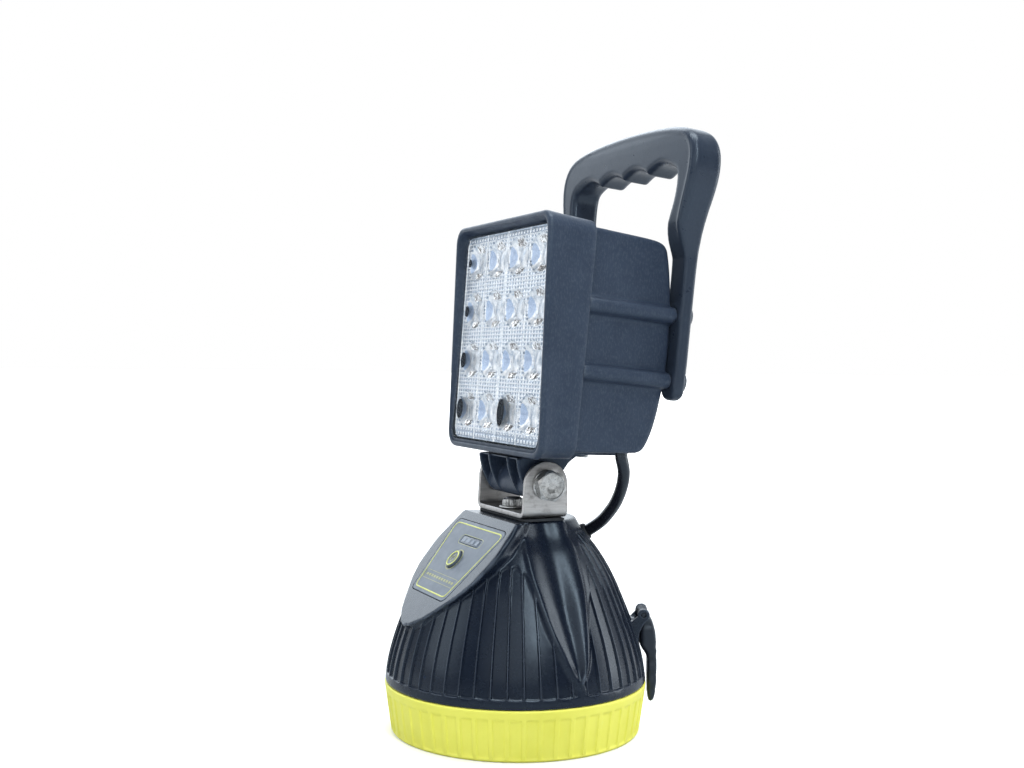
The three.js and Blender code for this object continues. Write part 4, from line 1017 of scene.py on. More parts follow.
def build_bracket():
    """Bent strip: U section swept from ear to ear, trimmed to the ear outline."""
    T, X, zb, ztop, ri = 2.3, 27.4, 102.5, 130.5, 1.9
    ro = ri + T
    def arc(cx, cz, r, a0, a1, n=7):
        return [(cx + r * math.cos(math.radians(a0 + (a1 - a0) * i / n)), cz + r * math.sin(math.radians(a0 + (a1 - a0) * i / n))) for i in range(n + 1)]
    out = [(-X, ztop)] + arc(-X + ro, zb + ro, ro, 180, 270) + arc(X - ro, zb + ro, ro, 270, 360) + [(X, ztop)]
    inn = [(X - T, ztop)] + arc(X - ro, zb + ro, ri, 360, 270) + arc(-X + ro, zb + ro, ri, 270, 180) + [(-X + T, ztop)]
    poly = out + inn
    V, F = prism(poly, -9.2, 13.9)
    V = perm(V, [0, 2, 1])
    ob = add('u_bracket_v', V, F, 'stainless', None, None, smooth_deg=None, flip=True)
    # outline of the ears seen from the side, as a solid to intersect with
    arch = [(2.6 + 10.85 * math.cos(a), 118 + 10.85 * math.sin(a)) for a in np.linspace(0, math.pi, 40)]
    ear = [(-9.0, 101.5), (13.7, 101.5), (13.6, 106)] + [p for p in arch] + [(-8.9, 106)]
    Ve, Fe = prism(ear, -40, 40)
    Ve = perm(Ve, [2, 0, 1])
    boolean(ob, add('cut', Ve, Fe, 'stainless', None, None, smooth_deg=None), 'INTERSECT')
    for V2, F2 in (cyl_between((-40, 2.6, 118), (40, 2.6, 118), 4.25, 48), cyl_between((0, -1.5, 95), (0, -1.5, 112), 4.3, 48)):
        boolean(ob, add('cut', V2, F2, 'stainless', None, None, smooth_deg=None))
    b = ob.modifiers.new('b', 'BEVEL'); b.width = 0.45 * MM; b.segments = 3; b.limit_method = 'ANGLE'; b.angle_limit = math.radians(40)
    bake(ob)
    ob.data.shade_smooth(); ob.data.set_sharp_from_angle(angle=math.radians(35))
    return ob


br = build_bracket()
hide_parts('u_bracket'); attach(br, 'yoke')

# hinge bolt along X: washer face, hexagon head with a dished top and faint radial marks, shank and thread
def along_x(V, x0=0.0, flipx=False):
    V = np.asarray(V, float)
    z = V[:, 2] * (-1 if flipx else 1)
    return np.c_[x0 + z, 2.6 + V[:, 0], 118 + V[:, 1] * (-1 if flipx else 1)]


def bolt_head():
    n, m = 14, 84
    t = np.linspace(0, 2 * math.pi, m, endpoint=False)
    hx = 7.5 * math.cos(math.pi / 6) / np.cos(((t + math.pi / 6 - math.radians(12)) % (math.pi / 3)) - math.pi / 6)
    hx = np.minimum(hx, 7.42)
    rc = 6.35
    drop = np.clip((hx - rc) * 0.55, 0, None)
    C = lambda r, z: np.c_[r * np.cos(t), r * np.sin(t), np.broadcast_to(z, (m,))]
    wob = 0.06 * (np.sin(t * 6 + 0.4) > 0.55)
    rings = [C(np.full(m, 3.9), 27.5), C(np.full(m, 6.9), 27.5), C(np.full(m, 7.1), 27.7), C(np.full(m, 7.1), 28.3), C(np.full(m, 6.9), 28.45), C(hx, 28.5), C(hx, 33.6 - drop), C(np.full(m, rc), 33.65), C(np.full(m, rc - 0.25), 33.8),
             C(np.full(m, 5.9), 33.8), C(np.full(m, 5.6), 33.45), C(np.full(m, 4.9), 33.4 + wob), C(np.full(m, 3.6), 33.4 + wob), C(np.full(m, 3.1), 33.4), C(np.full(m, 2.9), 33.3), C(np.full(m, 1.2), 33.3), C(np.full(m, 0.4), 33.34)]
    V = np.concatenate(rings); F = []
    for k in range(len(rings) - 1):
        for i in range(m):
            j = (i + 1) % m
            F.append([k * m + i, k * m + j, (k + 1) * m + j, (k + 1) * m + i])
    F.append([(len(rings) - 1) * m + i for i in range(m)])
    F.append(list(range(m))[::-1])
    return V, F


V1, F1 = bolt_head()
sh = [(0, 27.6), (3.9, 27.6)] + [(3.9, -24.0)]
z = -24.4
while z > -35.6:
    sh += [(3.9, z), (3.55, z - 0.4)]
    z -= 0.8
sh += [(3.9, -36.0), (3.4, -36.6), (0, -36.6)]
V2, F2 = revolve(sh[::-1], 40)
V, F, K = merge([(along_x(V1), F1), (along_x(V2), F2)])
add('hinge_bolt_v', V, F, 'zinc_steel', 'yoke', 'zinc_steel', ['hinge_bolt'], smooth_deg=30)
V1, F1 = hexprism(7.5, -33.4, -28.3, math.radians(5), bore=4.05)
V2, F2 = revolve([(4.05, -28.4), (7.2, -28.4), (7.4, -28.2), (7.4, -27.7), (7.2, -27.5), (4.05, -27.5)][::-1], 48, True)
V3, F3 = revolve([(4.05, -35.4), (5.2, -35.4), (5.8, -34.8), (5.8, -33.3), (4.05, -33.3)], 48, True)
V, F, K = merge([(along_x(V1), F1), (along_x(V2), F2), (along_x(V3), F3)])
add('hinge_nut_v', V, F, 'zinc_steel', 'yoke', 'zinc_steel', ['hinge_nut'], smooth_deg=30)
for s, nm in ((-1, 'left'), (1, 'right')):
    a = 23.7 if s > 0 else -24.7
    V, F = revolve([(4.1, a), (5.85, a), (6.0, a + 0.15), (6.0, a + 0.85), (5.85, a + 1.0), (4.1, a + 1.0)], 48, True)
    add('hinge_washer_%s_v' % nm, along_x(V), F, 'black_rubber', 'yoke', 'black_rubber', ['hinge_washer_' + nm], smooth_deg=35)

# ------------------------------------------------------------------ head: foot casting
def chaikin(p, it=2):
    p = np.asarray(p, float)
    for _ in range(it):
        q = np.roll(p, -1, 0)
        p = np.stack([0.75 * p + 0.25 * q, 0.25 * p + 0.75 * q], 1).reshape(-1, 2)
    return p


def Hh(dy, dz):
    return (HD + dy * TC - dz * TS, HU + dy * TS + dz * TC)


WEB = [(-2.0, HU - 7.5), (-5.4, -73.3), (-7.6, -71.3), (-9.6, -68.2), (-12.2, -63.4), (-13.8, -58.6), (-14.2, -55.6), (0.6, -55.6), (0.6, -51.6), (22, -51.0), (22, -52.4), (14.4, -53.2), (HD + 7.4, HU + 1.8), (HD + 2, HU - 5)]
PKT = [(-24, -74.5), (-5.4, -73.0), (-6.7, -71.4), (-7.5, -69.6), (-7.85, -67.6), (HD - 7.5, HU + 0.8), (HD - 6.6, HU + 3.4), (HD - 4.6, HU + 6.2), (HD - 2.6, HU + 9.4), (HD - 2.6, -56.7), (-24, -56.7)]
PLT = [(0.7, -52.7), (37.0, -50.5), (37.0, -48.8), (0.7, -51.0)]


def f_foot(x, d, u):
    plate = smax(poly_sdf(d, u, PLT), np.abs(x) - 30, 0.5)
    barrel = smax(np.sqrt((d - HD)**2 + (u - HU)**2) - 7.6, np.abs(x) - 23.5, 0.7)
    web = smax(poly_sdf(d, u, chaikin(WEB, 1)), np.abs(x) - 22.5, 0.5)
    body = smin(smin(plate, web, 1.0), barrel, 0.5)
    side = poly_sdf(d, u, PKT)
    for x0, x1 in ((-21.3, -11.3), (-10.1, 10.1), (11.3, 21.3)):
        p = smax(side, np.abs(x - (x0 + x1) / 2) - (x1 - x0) / 2, 0.35)
        body = smax(body, -p, 0.35)
    return body


V, F = surface_nets(f_foot, (-31.2, -15.6, -76), (31.2, 38.4, -47.6), 0.62)
foot = add('mount_foot_v', V, F, 'head_paint', None, None, to=HW, smooth_deg=None)
for p0, p1, r in (((-40, HD, HU), (40, HD, HU), 4.3), ((-16, 22, -60), (-16, 22, -46), 2.0), ((16, 22, -60), (16, 22, -46), 2.0)):
    Vc, Fc = cyl_between(HW(p0)[0], HW(p1)[0], r, 48)
    boolean(foot, add('cut', Vc, Fc, 'head_paint', None, None, smooth_deg=None))
foot.data.shade_smooth(); foot.data.set_sharp_from_angle(angle=math.radians(50))
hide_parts('mount_foot'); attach(foot, 'head')
for i, x in enumerate((-16, 16)):
    V, F = screw_head(3.4, 2.1, 1.5, 8.2)
    add('foot_screw_%d_v' % (i + 1), V + np.array([x, 22, -53.3]), F, 'zinc_steel', 'head', 'zinc_steel', ['foot_screw_%d' % (i + 1)], to=HW, smooth_deg=40)

# ------------------------------------------------------------------ housing
SIDE = [(-40, 50.9), (0, 50.6), (16, 49.9), (31.7, 49.2), (36.5, 48.2), (38.8, 46.3), (39.9, 43.5), (42.0, 34), (43.9, 20), (44.6, 5), (44.6, -8),
        (43.2, -21), (41.8, -30.5), (40, -38), (37.4, -44.6), (35.4, -47.2), (32, -48.3), (16, -49.3), (0, -50.3), (-40, -50.8)]
SIDE_S = chaikin(SIDE, 1)


def round_max(a, b, r):
    return np.minimum(np.maximum(a + r, b + r), 0) + np.sqrt(np.maximum(a + r, 0)**2 + np.maximum(b + r, 0)**2) - r


def f_housing(x, d, u):
    side = poly_sdf(d, u, SIDE_S)
    hw = 50.3 - (50.3 - 48.9) * (d + 6.2) / 52.2
    out = round_max(side - 0.3, np.abs(x) - hw, 1.8)
    skin = smax(out, -(out + 2.4), 0.5)
    for ru in (15.9, -14.1):
        c = np.sqrt((np.abs(x) - 50.3)**2 + (u - ru)**2) - 3.75
        c = smax(c, np.maximum(-0.2 - d, d - 44.7), 0.5)
        c = np.maximum(c, -(out + 2.4))
        skin = smin(skin, c, 2.2)
    skin = np.maximum(skin, -(d + 6.2))
    hole = np.maximum(np.sqrt((x - 38)**2 + (d - 31.4)**2) - 3.6, u + 40)
    return smax(skin, -hole, 0.4)


V, F = surface_nets(f_housing, (-56, -7.2, -53), (56, 47, 53), 0.95)
add('head_housing_v', V, F, 'head_paint', 'head', 'head_paint', ['head_housing'], to=HW, smooth_deg=60)
parts = []
for i in range(-3, 4):
    x = i * 9
    prof = [(40.9, -30), (47.2, -30), (48.6, -29.4), (49.2, -28.2), (49.4, -26), (49.4, 26), (49.2, 28.2), (48.6, 29.4), (47.2, 30), (40.9, 30)]
    rings = []
    for w, s in ((-0.9, 0.75), (-0.85, 0.35), (-0.55, 0.0), (0.55, 0.0), (0.85, 0.35), (0.9, 0.75)):
        rings.append([(x + w, min(dd, 49.4 - s) if dd > 45 else dd, uu * (1 - s * 0.012)) for dd, uu in prof])
    v, f = loft(rings)
    parts.append((v, f))
V, F, K = merge(parts)
add('housing_fins_v', V, F, 'head_paint', 'head', 'head_paint', to=HW, smooth_deg=30)

# ------------------------------------------------------------------ bezel: rounded section carried round the square, its front edge sloping
def sq_ring(W, H, r, n=9, m=10):
    """Rounded rectangle with half sizes W, H as (x, u), straight sides subdivided."""
    pts = []
    corners = [(W - r, H - r, 0), (-W + r, H - r, 90), (-W + r, -H + r, 180), (W - r, -H + r, 270)]
    for k, (cx, cy, a0) in enumerate(corners):
        for i in range(n + 1):
            a = math.radians(a0 + 90 * i / n)
            pts.append((cx + r * math.cos(a), cy + r * math.sin(a)))
        nx, ny, _ = corners[(k + 1) % 4]
        a1 = math.radians(a0 + 90)
        p0 = np.array([cx + r * math.cos(a1), cy + r * math.sin(a1)])
        p1 = np.array([nx + r * math.cos(a1), ny + r * math.sin(a1)])
        for i in range(1, m):
            pts.append(tuple(p0 + (p1 - p0) * i / m))
    return np.array(pts)


DF = lambda u: -21.5 - 0.05833 * u


def bezel():
    rings = []
    def ring(W, r, d, front=False):
        p = sq_ring(W, W, r)
        dd = DF(p[:, 1]) + d if front else np.full(len(p), d)
        rings.append(np.c_[p[:, 0], dd, p[:, 1]])
    outer = lambda d: 53.6 + 1.4 * (-d / 26)
    ring(53.2, 7.1, 0.0); ring(53.5, 7.4, -0.12); ring(53.62, 7.5, -0.6); ring(outer(-3), 7.6, -3)
    ring(outer(-9), 7.8, -9); ring(outer(-15), 7.9, -15)
    ring(54.95, 8.0, 2.6, True); ring(54.98, 8.0, 1.9, True); ring(54.9, 7.95, 1.25, True); ring(54.66, 7.8, 0.68, True); ring(54.3, 7.5, 0.25, True); ring(53.9, 7.3, 0.06, True); ring(53.5, 7.1, 0.0, True)
    ring(53.0, 6.9, 0.02, True); ring(52.7, 6.7, 0.12, True); ring(52.45, 6.5, 0.4, True); ring(52.3, 6.4, 0.8, True)
    ring(51.0, 5.2, -18.2); ring(50.9, 5.1, -17.75); ring(51.0, 5.0, -17.65); ring(51.5, 4.2, -17.65); ring(51.7, 4.0, -17.5); ring(51.7, 4.0, -0.2); ring(51.9, 4.2, 0.0)
    n = len(rings[0]); V = np.concatenate(rings); F = []
    for k in range(len(rings)):
        a, b2 = k * n, ((k + 1) % len(rings)) * n
        for i in range(n):
            j = (i + 1) % n
            F.append([a + i, a + j, b2 + j, b2 + i])
    return V, F


V, F = bezel()
add('head_bezel_v', V, F, 'head_paint', 'head', 'head_paint', ['head_bezel'], to=HW, smooth_deg=40, flip=False)

# gasket, lens cover, optics
rings = []
for W, r, d in ((51.4, 3.6, -14.7), (51.4, 3.6, -12.9), (48.4, 3.0, -12.9), (48.4, 3.0, -14.7)):
    p = sq_ring(W, W, r)
    rings.append(np.c_[p[:, 0], np.full(len(p), d), p[:, 1]])
n = len(rings[0]); V = np.concatenate(rings); F = []
for k in range(4):
    a, b2 = k * n, ((k + 1) % 4) * n
    for i in range(n):
        j = (i + 1) % n
        F.append([a + i, b2 + i, b2 + j, a + j])
add('lens_gasket_v', V, F, 'black_rubber', 'head', 'black_rubber', ['lens_gasket'], to=HW, smooth_deg=40)

CUP = 24.4
CU0 = 0.8


def lens_pane():
    """Clear pane with a raised rim, a fine groove inside it and a stepped edge."""
    rings = []
    for W, r, d in ((49.9, 5.2, -20.0), (50.3, 5.3, -19.8), (50.35, 5.3, -15.1), (50.4, 5.3, -15.0), (51.2, 5.0, -15.0), (51.4, 5.0, -15.2), (51.4, 5.0, -17.3), (51.2, 5.0, -17.5), (50.75, 5.4, -17.6), (50.75, 5.4, -20.3), (50.6, 5.4, -20.5), (50.3, 5.4, -20.55),
                    (50.15, 5.4, -20.4), (50.05, 5.4, -20.2), (49.85, 5.3, -20.2), (49.7, 5.3, -20.4), (49.5, 5.3, -20.42), (49.35, 5.2, -20.25)):
        p = sq_ring(W, W, r)
        rings.append(np.c_[p[:, 0], np.full(len(p), d) if d > -17.55 else d + 0.95 - 0.024 * p[:, 1], p[:, 1]])
    n = len(rings[0])
    V, F = loft(rings, cap0=True, cap1=True)
    return V, F


V, F = lens_pane()
add('lens_cover_v', V, F, 'clear_lens', 'head', 'clear_lens', ['lens_cover'], to=HW, smooth_deg=30)


def optic_height(X, U):
    """Front surface of the moulded optic, as a depth behind the pane: cups with facets, prism beads in between."""
    cx = X / CUP + 2.0
    cu = (U - CU0) / CUP + 2.0
    gx, gu = (cx % 1.0 - 0.5) * CUP, (cu % 1.0 - 0.5) * CUP
    rr = np.hypot(gx / 11.2, gu / 9.5)
    th = np.arctan2(gu / 9.5, gx / 11.2)
    big = ss((np.abs(U - CU0) - 46.0) / 0.6)
    pb = lambda p, p2: np.maximum(0, 1 - 1.25 * np.maximum(np.abs((X / p) % 1.0 - 0.5), np.abs((U / p2) % 1.0 - 0.5)) * 2)
    field = 0.3 * pb(3.0, 1.9) * (1 - big) + 0.5 * pb(3.3, 2.6) * big
    # thin standing lines between the columns
    vl = np.exp(-((np.abs(gx) - 12.2) / 0.35)**2) * 0.22
    h = -18.95 - field - vl
    n = 22
    fac = np.abs(((th / (2 * np.pi) * n) % 1.0) - 0.5) * 2
    wall = -18.7 + (1 - rr) * 6.4 + 0.75 * (fac - 0.5) * ss((0.98 - rr) / 0.12) * ss((rr - 0.5) / 0.1) * ss((gx + 5.5) / 2.0)
    floor_ = -15.5 + 0.5 * (rr / 0.5)**2
    cup = np.where(rr > 0.52, wall, floor_ - 0.45)
    rim = np.exp(-((rr - 1.02) / 0.03)**2) * 0.05
    return np.where(rr < 1.0, cup, h) - rim


def optic():
    W = 49.95
    n = 272
    g = np.linspace(-W, W, n)
    X, U = np.meshgrid(g, g, indexing='ij')
    jx = optic_height(X, U) + 0.95 - 0.024 * U                    # the front leans with the hood
    rc = 5.6                                                      # the square grid is drawn in to rounded corners
    ax_, au_ = np.abs(X) - (W - rc), np.abs(U) - (W - rc)
    cn = (ax_ > 0) & (au_ > 0)
    f_ = np.where(cn, np.maximum(ax_, au_) / np.maximum(np.hypot(ax_, au_), 1e-6), 1.0)
    Xr = np.where(cn, np.sign(X) * (W - rc + ax_ * f_), X); Ur = np.where(cn, np.sign(U) * (W - rc + au_ * f_), U)
    V = np.stack([Xr, jx, Ur], -1).reshape(-1, 3)
    I = np.arange(n * n).reshape(n, n)
    q = np.stack([I[:-1, :-1], I[1:, :-1], I[1:, 1:], I[:-1, 1:]], -1).reshape(-1, 4)
    per = np.concatenate([I[:, 0], I[-1, 1:], I[::-1, -1][1:], I[0, ::-1][1:-1]])
    nn = len(per)
    steps = []
    for dd, kk in ((-15.6, 1.0), (-14.95, 0.997), (-14.8, 0.962), (-9.5, 0.962)):
        vv = V[per] * np.array([kk, 1, kk]); vv[:, 1] = dd
        steps.append(vv)
    o = len(V)
    V2 = np.concatenate(steps)
    i = np.arange(nn); j = (i + 1) % nn
    side = np.concatenate([np.stack([per[j], per[i], o + i, o + j], 1)] + [np.stack([o + k * nn + j, o + k * nn + i, o + (k + 1) * nn + i, o + (k + 1) * nn + j], 1) for k in range(3)])
    o = o + 3 * nn
    F = [list(f) for f in q] + [list(f) for f in side] + [[o + k for k in range(nn)][::-1]]
    cxs = V[q].mean(1)
    fx, fu = (cxs[:, 0] / CUP + 2.0) % 1.0 - 0.5, ((cxs[:, 2] - CU0) / CUP + 2.0) % 1.0 - 0.5
    gx, gu = fx * CUP, fu * CUP
    mat = np.zeros(len(q), int)
    el = np.hypot(gx / 10.6, gu / 9.0)
    gv = (np.abs((cxs[:, 0] / 3.0) % 1.0 - 0.5) * 2 > 0.42) & (np.abs((cxs[:, 2] / 1.9) % 1.0 - 0.5) * 2 > 0.42)
    bg_ = (np.abs((cxs[:, 0] / 3.3) % 1.0 - 0.5) * 2 > 0.6) | (np.abs((cxs[:, 2] / 2.6) % 1.0 - 0.5) * 2 > 0.62)
    mat[np.where(np.abs(cxs[:, 2] - CU0) > 46.2, bg_, gv)] = 4    # valleys between the beads, painted darker as shade
    mat[np.abs(np.abs(gx) - 11.9) < 0.45] = 3
    mat[el < 1.0] = 3                                             # pale faceted wall of a cup; its pale, white-flecked colour is a painted sheen
    # painted glints at the top and bottom of each cup
    mat[(el < 0.94) & (np.abs(gu) > 5.2) & (np.abs(gx - 0.8) < 5.0)] = 2
    # painted reflection: a light-blue oval to the left of every cup centre
    mat[np.hypot((gx + 8.5) / 1.9, gu / 5.0) < 1.0] = 1
    K = list(mat.astype(int)) + [0] * (len(F) - len(q))
    return np.concatenate([V, V2]), F, K


V, F, K = optic()
add('lens_optic_v', V, F, None, 'head', 'clear_lens', to=HW, smooth_deg=8, mats=['optic_prism', 'optic_window_painted_reflection', 'optic_painted_glint', 'optic_wall_painted_sheen', 'optic_valley_painted_shade'], fmat=K)
# painted shade: dark ovals set behind five of the cups, where a dark view through them falls from this side
parts = []
for i, j, ox, hw, hh in ((0, 0, -8.8, 1.3, 1.8), (0, 1, -8.4, 1.9, 2.7), (0, 2, -8.6, 2.6, 3.8), (0, 3, -8.6, 3.2, 4.8), (2, 3, -6.6, 3.3, 6.3)):
    x0, u0 = (i - 1.5) * CUP + ox, (1.5 - j) * CUP + CU0
    pts = [(x0 + hw * math.cos(a), u0 + hh * math.sin(a)) for a in np.linspace(0, 2 * math.pi, 28, endpoint=False)]
    v, f = prism(pts, -18.45 - 0.024 * u0, -17.9 - 0.024 * u0)
    parts.append((perm(v, [0, 2, 1]), [q[::-1] for q in f]))
V, F, K = merge(parts)
add('optic_painted_shade_throats_v', V, F, 'painted_shade_throat', 'head', 'clear_lens', to=HW, smooth_deg=40)

tiles = []
SEG = 28
for i in range(4):
    for j in range(4):
        cx, cu = (i - 1.5) * CUP, (j - 1.5) * CUP
        t = np.linspace(0, 2 * math.pi, SEG, endpoint=False)
        sq = 12.2 / np.maximum(np.abs(np.cos(t)), np.abs(np.sin(t)))
        def R(r, d, clamp=False):
            x = np.clip(cx + r * np.cos(t), -45.3, 45.3) if clamp else cx + r * np.cos(t)
            u = np.clip(cu + r * np.sin(t), -46.3, 46.3) if clamp else cu + r * np.sin(t)
            return np.c_[x, np.broadcast_to(d, (SEG,)), u]
        rings = [R(sq, -8.9, True), R(np.full(SEG, 8.1), -8.9), R(np.full(SEG, 7.9), -8.7)]
        for r, d in ((7.4, -6.5), (6.6, -4.0), (5.6, -1.8), (4.5, -0.2), (3.35, 1.15)):
            rings.append(R(np.full(SEG, r), d))
        rings += [R(np.full(SEG, 3.3), 1.3), R(sq, 1.3, True)]
        V = np.concatenate(rings); F = []
        for k in range(len(rings)):
            a, b2 = k * SEG, ((k + 1) % len(rings)) * SEG
            for q in range(SEG):
                w = (q + 1) % SEG
                F.append([a + q, a + w, b2 + w, b2 + q])
        tiles.append((V, F))
V, F, K = merge(tiles)
add('reflector_v', V, F, 'reflector_chrome', 'head', 'reflector_chrome', ['reflector'], to=HW, smooth_deg=9)

for j in range(4):
    for i in range(4):
        x, u = (i - 1.5) * CUP, (1.5 - j) * CUP
        V1, F1 = prism(rrect(3.5, 3.5, 0.35, x, u, 4), 2.0, 2.8)
        V1 = perm(V1, [0, 2, 1])
        V2, F2 = revolve([(0, 2.05), (1.45, 2.05), (1.42, 1.82), (1.2, 1.68), (0.7, 1.62), (0, 1.6)], 28)
        V2 = perm(V2 + np.array([x, u, 0]), [0, 2, 1])
        V, F, K = merge([(V1, F1, 1), (V2, F2, 0)])
        nm = 'led_%02d' % (j * 4 + i + 1)
        add(nm + '_v', V, F, None, 'head', 'led_package', [nm], to=HW, smooth_deg=40, flip=True, mats=['led_package', 'led_body'], fmat=K)

# ------------------------------------------------------------------ handle
right = [(56.5, -17.5), (56.5, 40), (57.4, 49), (59.6, 59), (62.6, 69), (65, 77.5), (66, 84.5), (65.4, 91), (62.6, 96.4), (58, 100.3), (50, 103), (38, 104.8), (20, 106.1), (0, 106.5)]
botR = [(43.4, -17.5), (44.4, -20.5), (46.6, -22.4), (50, -23.1), (53.4, -22.4), (55.6, -20.5)]
HO = chaikin(botR + right + [(-x, u) for x, u in right[:-1][::-1]] + [(-x, u) for x, u in botR[::-1]], 2)
gro = []
for c in (36.5, 12, -12, -36.5):
    w = 12.6 if abs(c) > 20 else 12
    for k in range(13):
        t = k / 12
        gro.append((c + w * (1 - 2 * t) * (0.97 if abs(c) > 20 else 1), 83.2 + 3.4 * math.sin(math.pi * t)))
innR = [(43.4, -60), (43.4, 44), (44.6, 52), (47.6, 61), (50.6, 70), (51.6, 77), (50.8, 81.5)]
HI = innR + [p for p in gro if abs(p[0]) < 49.4] + [(-x, u) for x, u in innR[::-1]]
HI = chaikin(HI, 1)
HS = chaikin([(45.0, -40), (51.3, -40), (51.3, 50), (52.3, 60), (53.9, 72), (54.2, 84), (53.4, 98), (52.0, 104), (50.2, 112), (41, 112), (39.0, 104), (38, 97), (38, 60), (38.8, 56), (41.2, 50), (43.8, 45), (45.0, 41)], 2)


def f_handle(x, d, u):
    ax = np.abs(x)
    a = poly_sdf(ax, u, HO)
    b = -poly_sdf(ax, u, HI)
    # the last outlines run past the middle, so they are clean at x = 0
    s = poly_sdf(d, u, HS)
    rr = 1.6 + 1.6 * ss((u - 50) / 20)
    band = smax(a, b, 0.4)
    h = round_max(band, s, rr)
    # a slim bead runs round the outer edge of the front
    h = h - 0.35 * np.exp(-((a + 2.2) / 1.0)**2) * ss((42.5 - d) / 2.0) * ss((u - 48) / 8)
    for ru in (15.9, -14.1):
        c = smax(np.sqrt((ax - 50.3)**2 + (u - ru)**2) - 5.2, np.maximum(45.0 - d, d - 52.3), 0.8)
        h = smin(h, c, 1.1)
        cb = np.maximum(np.sqrt((ax - 50.3)**2 + (u - ru)**2) - 3.75, 49.4 - d)
        h = smax(h, -cb, 0.35)
        h = smax(h, -(np.sqrt((ax - 50.3)**2 + (u - ru)**2) - 2.0), 0.3)
    return h


V, F = surface_nets(f_handle, (-67.4, 36.8, -24.8), (67.4, 55.4, 108.2), 0.85)
add('handle_v', V, F, 'handle_plastic', 'head', 'handle_plastic', ['handle'], to=HW, smooth_deg=60)
k = 1
for s in (-1, 1):
    for ru in (15.9, -14.1):
        V, F = screw_head(3.4, 2.4, 1.4, 46.5)
        V = np.c_[V[:, 0] + s * 50.3, 51.9 - V[:, 2], V[:, 1] + ru]
        add('handle_screw_%d_v' % k, V, F, 'zinc_steel', 'head', 'zinc_steel', ['handle_screw_%d' % k], to=HW, smooth_deg=40)
        k += 1

# ------------------------------------------------------------------ cable and grommet
PATH = np.array([[38, 36.2, 138], [38, 35.7, 134], [37.9, 35.7, 130.6], [37.4, 36.9, 127], [36.3, 38, 123.6], [34.3, 38.8, 119.6], [31.5, 39.4, 115.6],
                 [28, 39.9, 111.6], [23.5, 40.3, 107.3], [18.5, 40.1, 103], [12.8, 39.0, 98.2], [7.2, 35.5, 93.63], [3.2, 30.67, 90.02], [1.4, 28.5, 88.4]], float)[::-1]


def catmull(P, per=8):
    out = []
    Q = np.vstack([2 * P[0] - P[1], P, 2 * P[-1] - P[-2]])
    for i in range(1, len(Q) - 2):
        p0, p1, p2, p3 = Q[i - 1:i + 3]
        for k in range(per):
            t = k / per
            out.append(0.5 * ((2 * p1) + (p2 - p0) * t + (2 * p0 - 5 * p1 + 4 * p2 - p3) * t * t + (3 * p1 - p0 - 3 * p2 + p3) * t**3))
    out.append(P[-1])
    return np.array(out)


CP = catmull(PATH, 8)
for _ in range(6):
    CP[1:-1] = 0.25 * CP[:-2] + 0.5 * CP[1:-1] + 0.25 * CP[2:]


def tube(P, r, n=22, ends=True):
    T = np.gradient(P, axis=0); T /= np.linalg.norm(T, axis=1, keepdims=True)
    a = np.cross(T[0], [0, 1.0, 0]); a /= np.linalg.norm(a)
    rings = []
    for k in range(len(P)):
        a = a - T[k] * (a @ T[k]); a /= np.linalg.norm(a)
        b2 = np.cross(T[k], a)
        t = np.linspace(0, 2 * math.pi, n, endpoint=False)
        rings.append(P[k] + r * (np.cos(t)[:, None] * a + np.sin(t)[:, None] * b2))
    return loft(rings)


split = int(np.argmin(np.abs(CP[:, 2] - 107.3)))
V, F = tube(CP[:split + 2], 2.9)
lower = add('power_cable_lower_v', V, F, 'cable_jacket', None, None, smooth_deg=50)
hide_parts('power_cable')
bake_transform(lower)
V, F = tube(CP[split - 1:], 2.9)
upper = add('power_cable_upper_v', V, F, 'cable_jacket', None, None, smooth_deg=50)
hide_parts('power_cable')
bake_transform(upper)
V, F = profile_along((5.2, 33.09, 91.83), GD, [(3.05, -2.3), (3.3, -2.6), (3.8, -2.4), (4.2, -1.7), (4.28, -0.8), (4.3, 4.0), (4.0, 4.2), (3.05, 4.2)], 40, True)
add('cable_grommet_v', V, F, 'black_rubber', 'base', 'black_rubber', ['cable_grommet'], smooth_deg=40)

# ------------------------------------------------------------------ carried-over inner pieces get their finishes
CARRY = {'battery_tray': 'inner_plastic', 'control_board': 'circuit_board', 'tact_switch': 'black_rubber', 'led_board': 'board_aluminium', 'driver_board': 'circuit_board',
         'battery_cell_1': 'cell_wrap', 'battery_cell_2': 'cell_wrap', 'battery_cell_3': 'cell_wrap', 'battery_cell_4': 'cell_wrap'}
for nm, ob in frame['nodes'].items():
    if ob.hide_render:
        continue
    mt = CARRY.get(nm)
    if mt is None:
        print('NODE STILL SHOWN', nm)
        continue
    for s in ob.material_slots:
        s.link = 'OBJECT'
        s.material = M[mt]

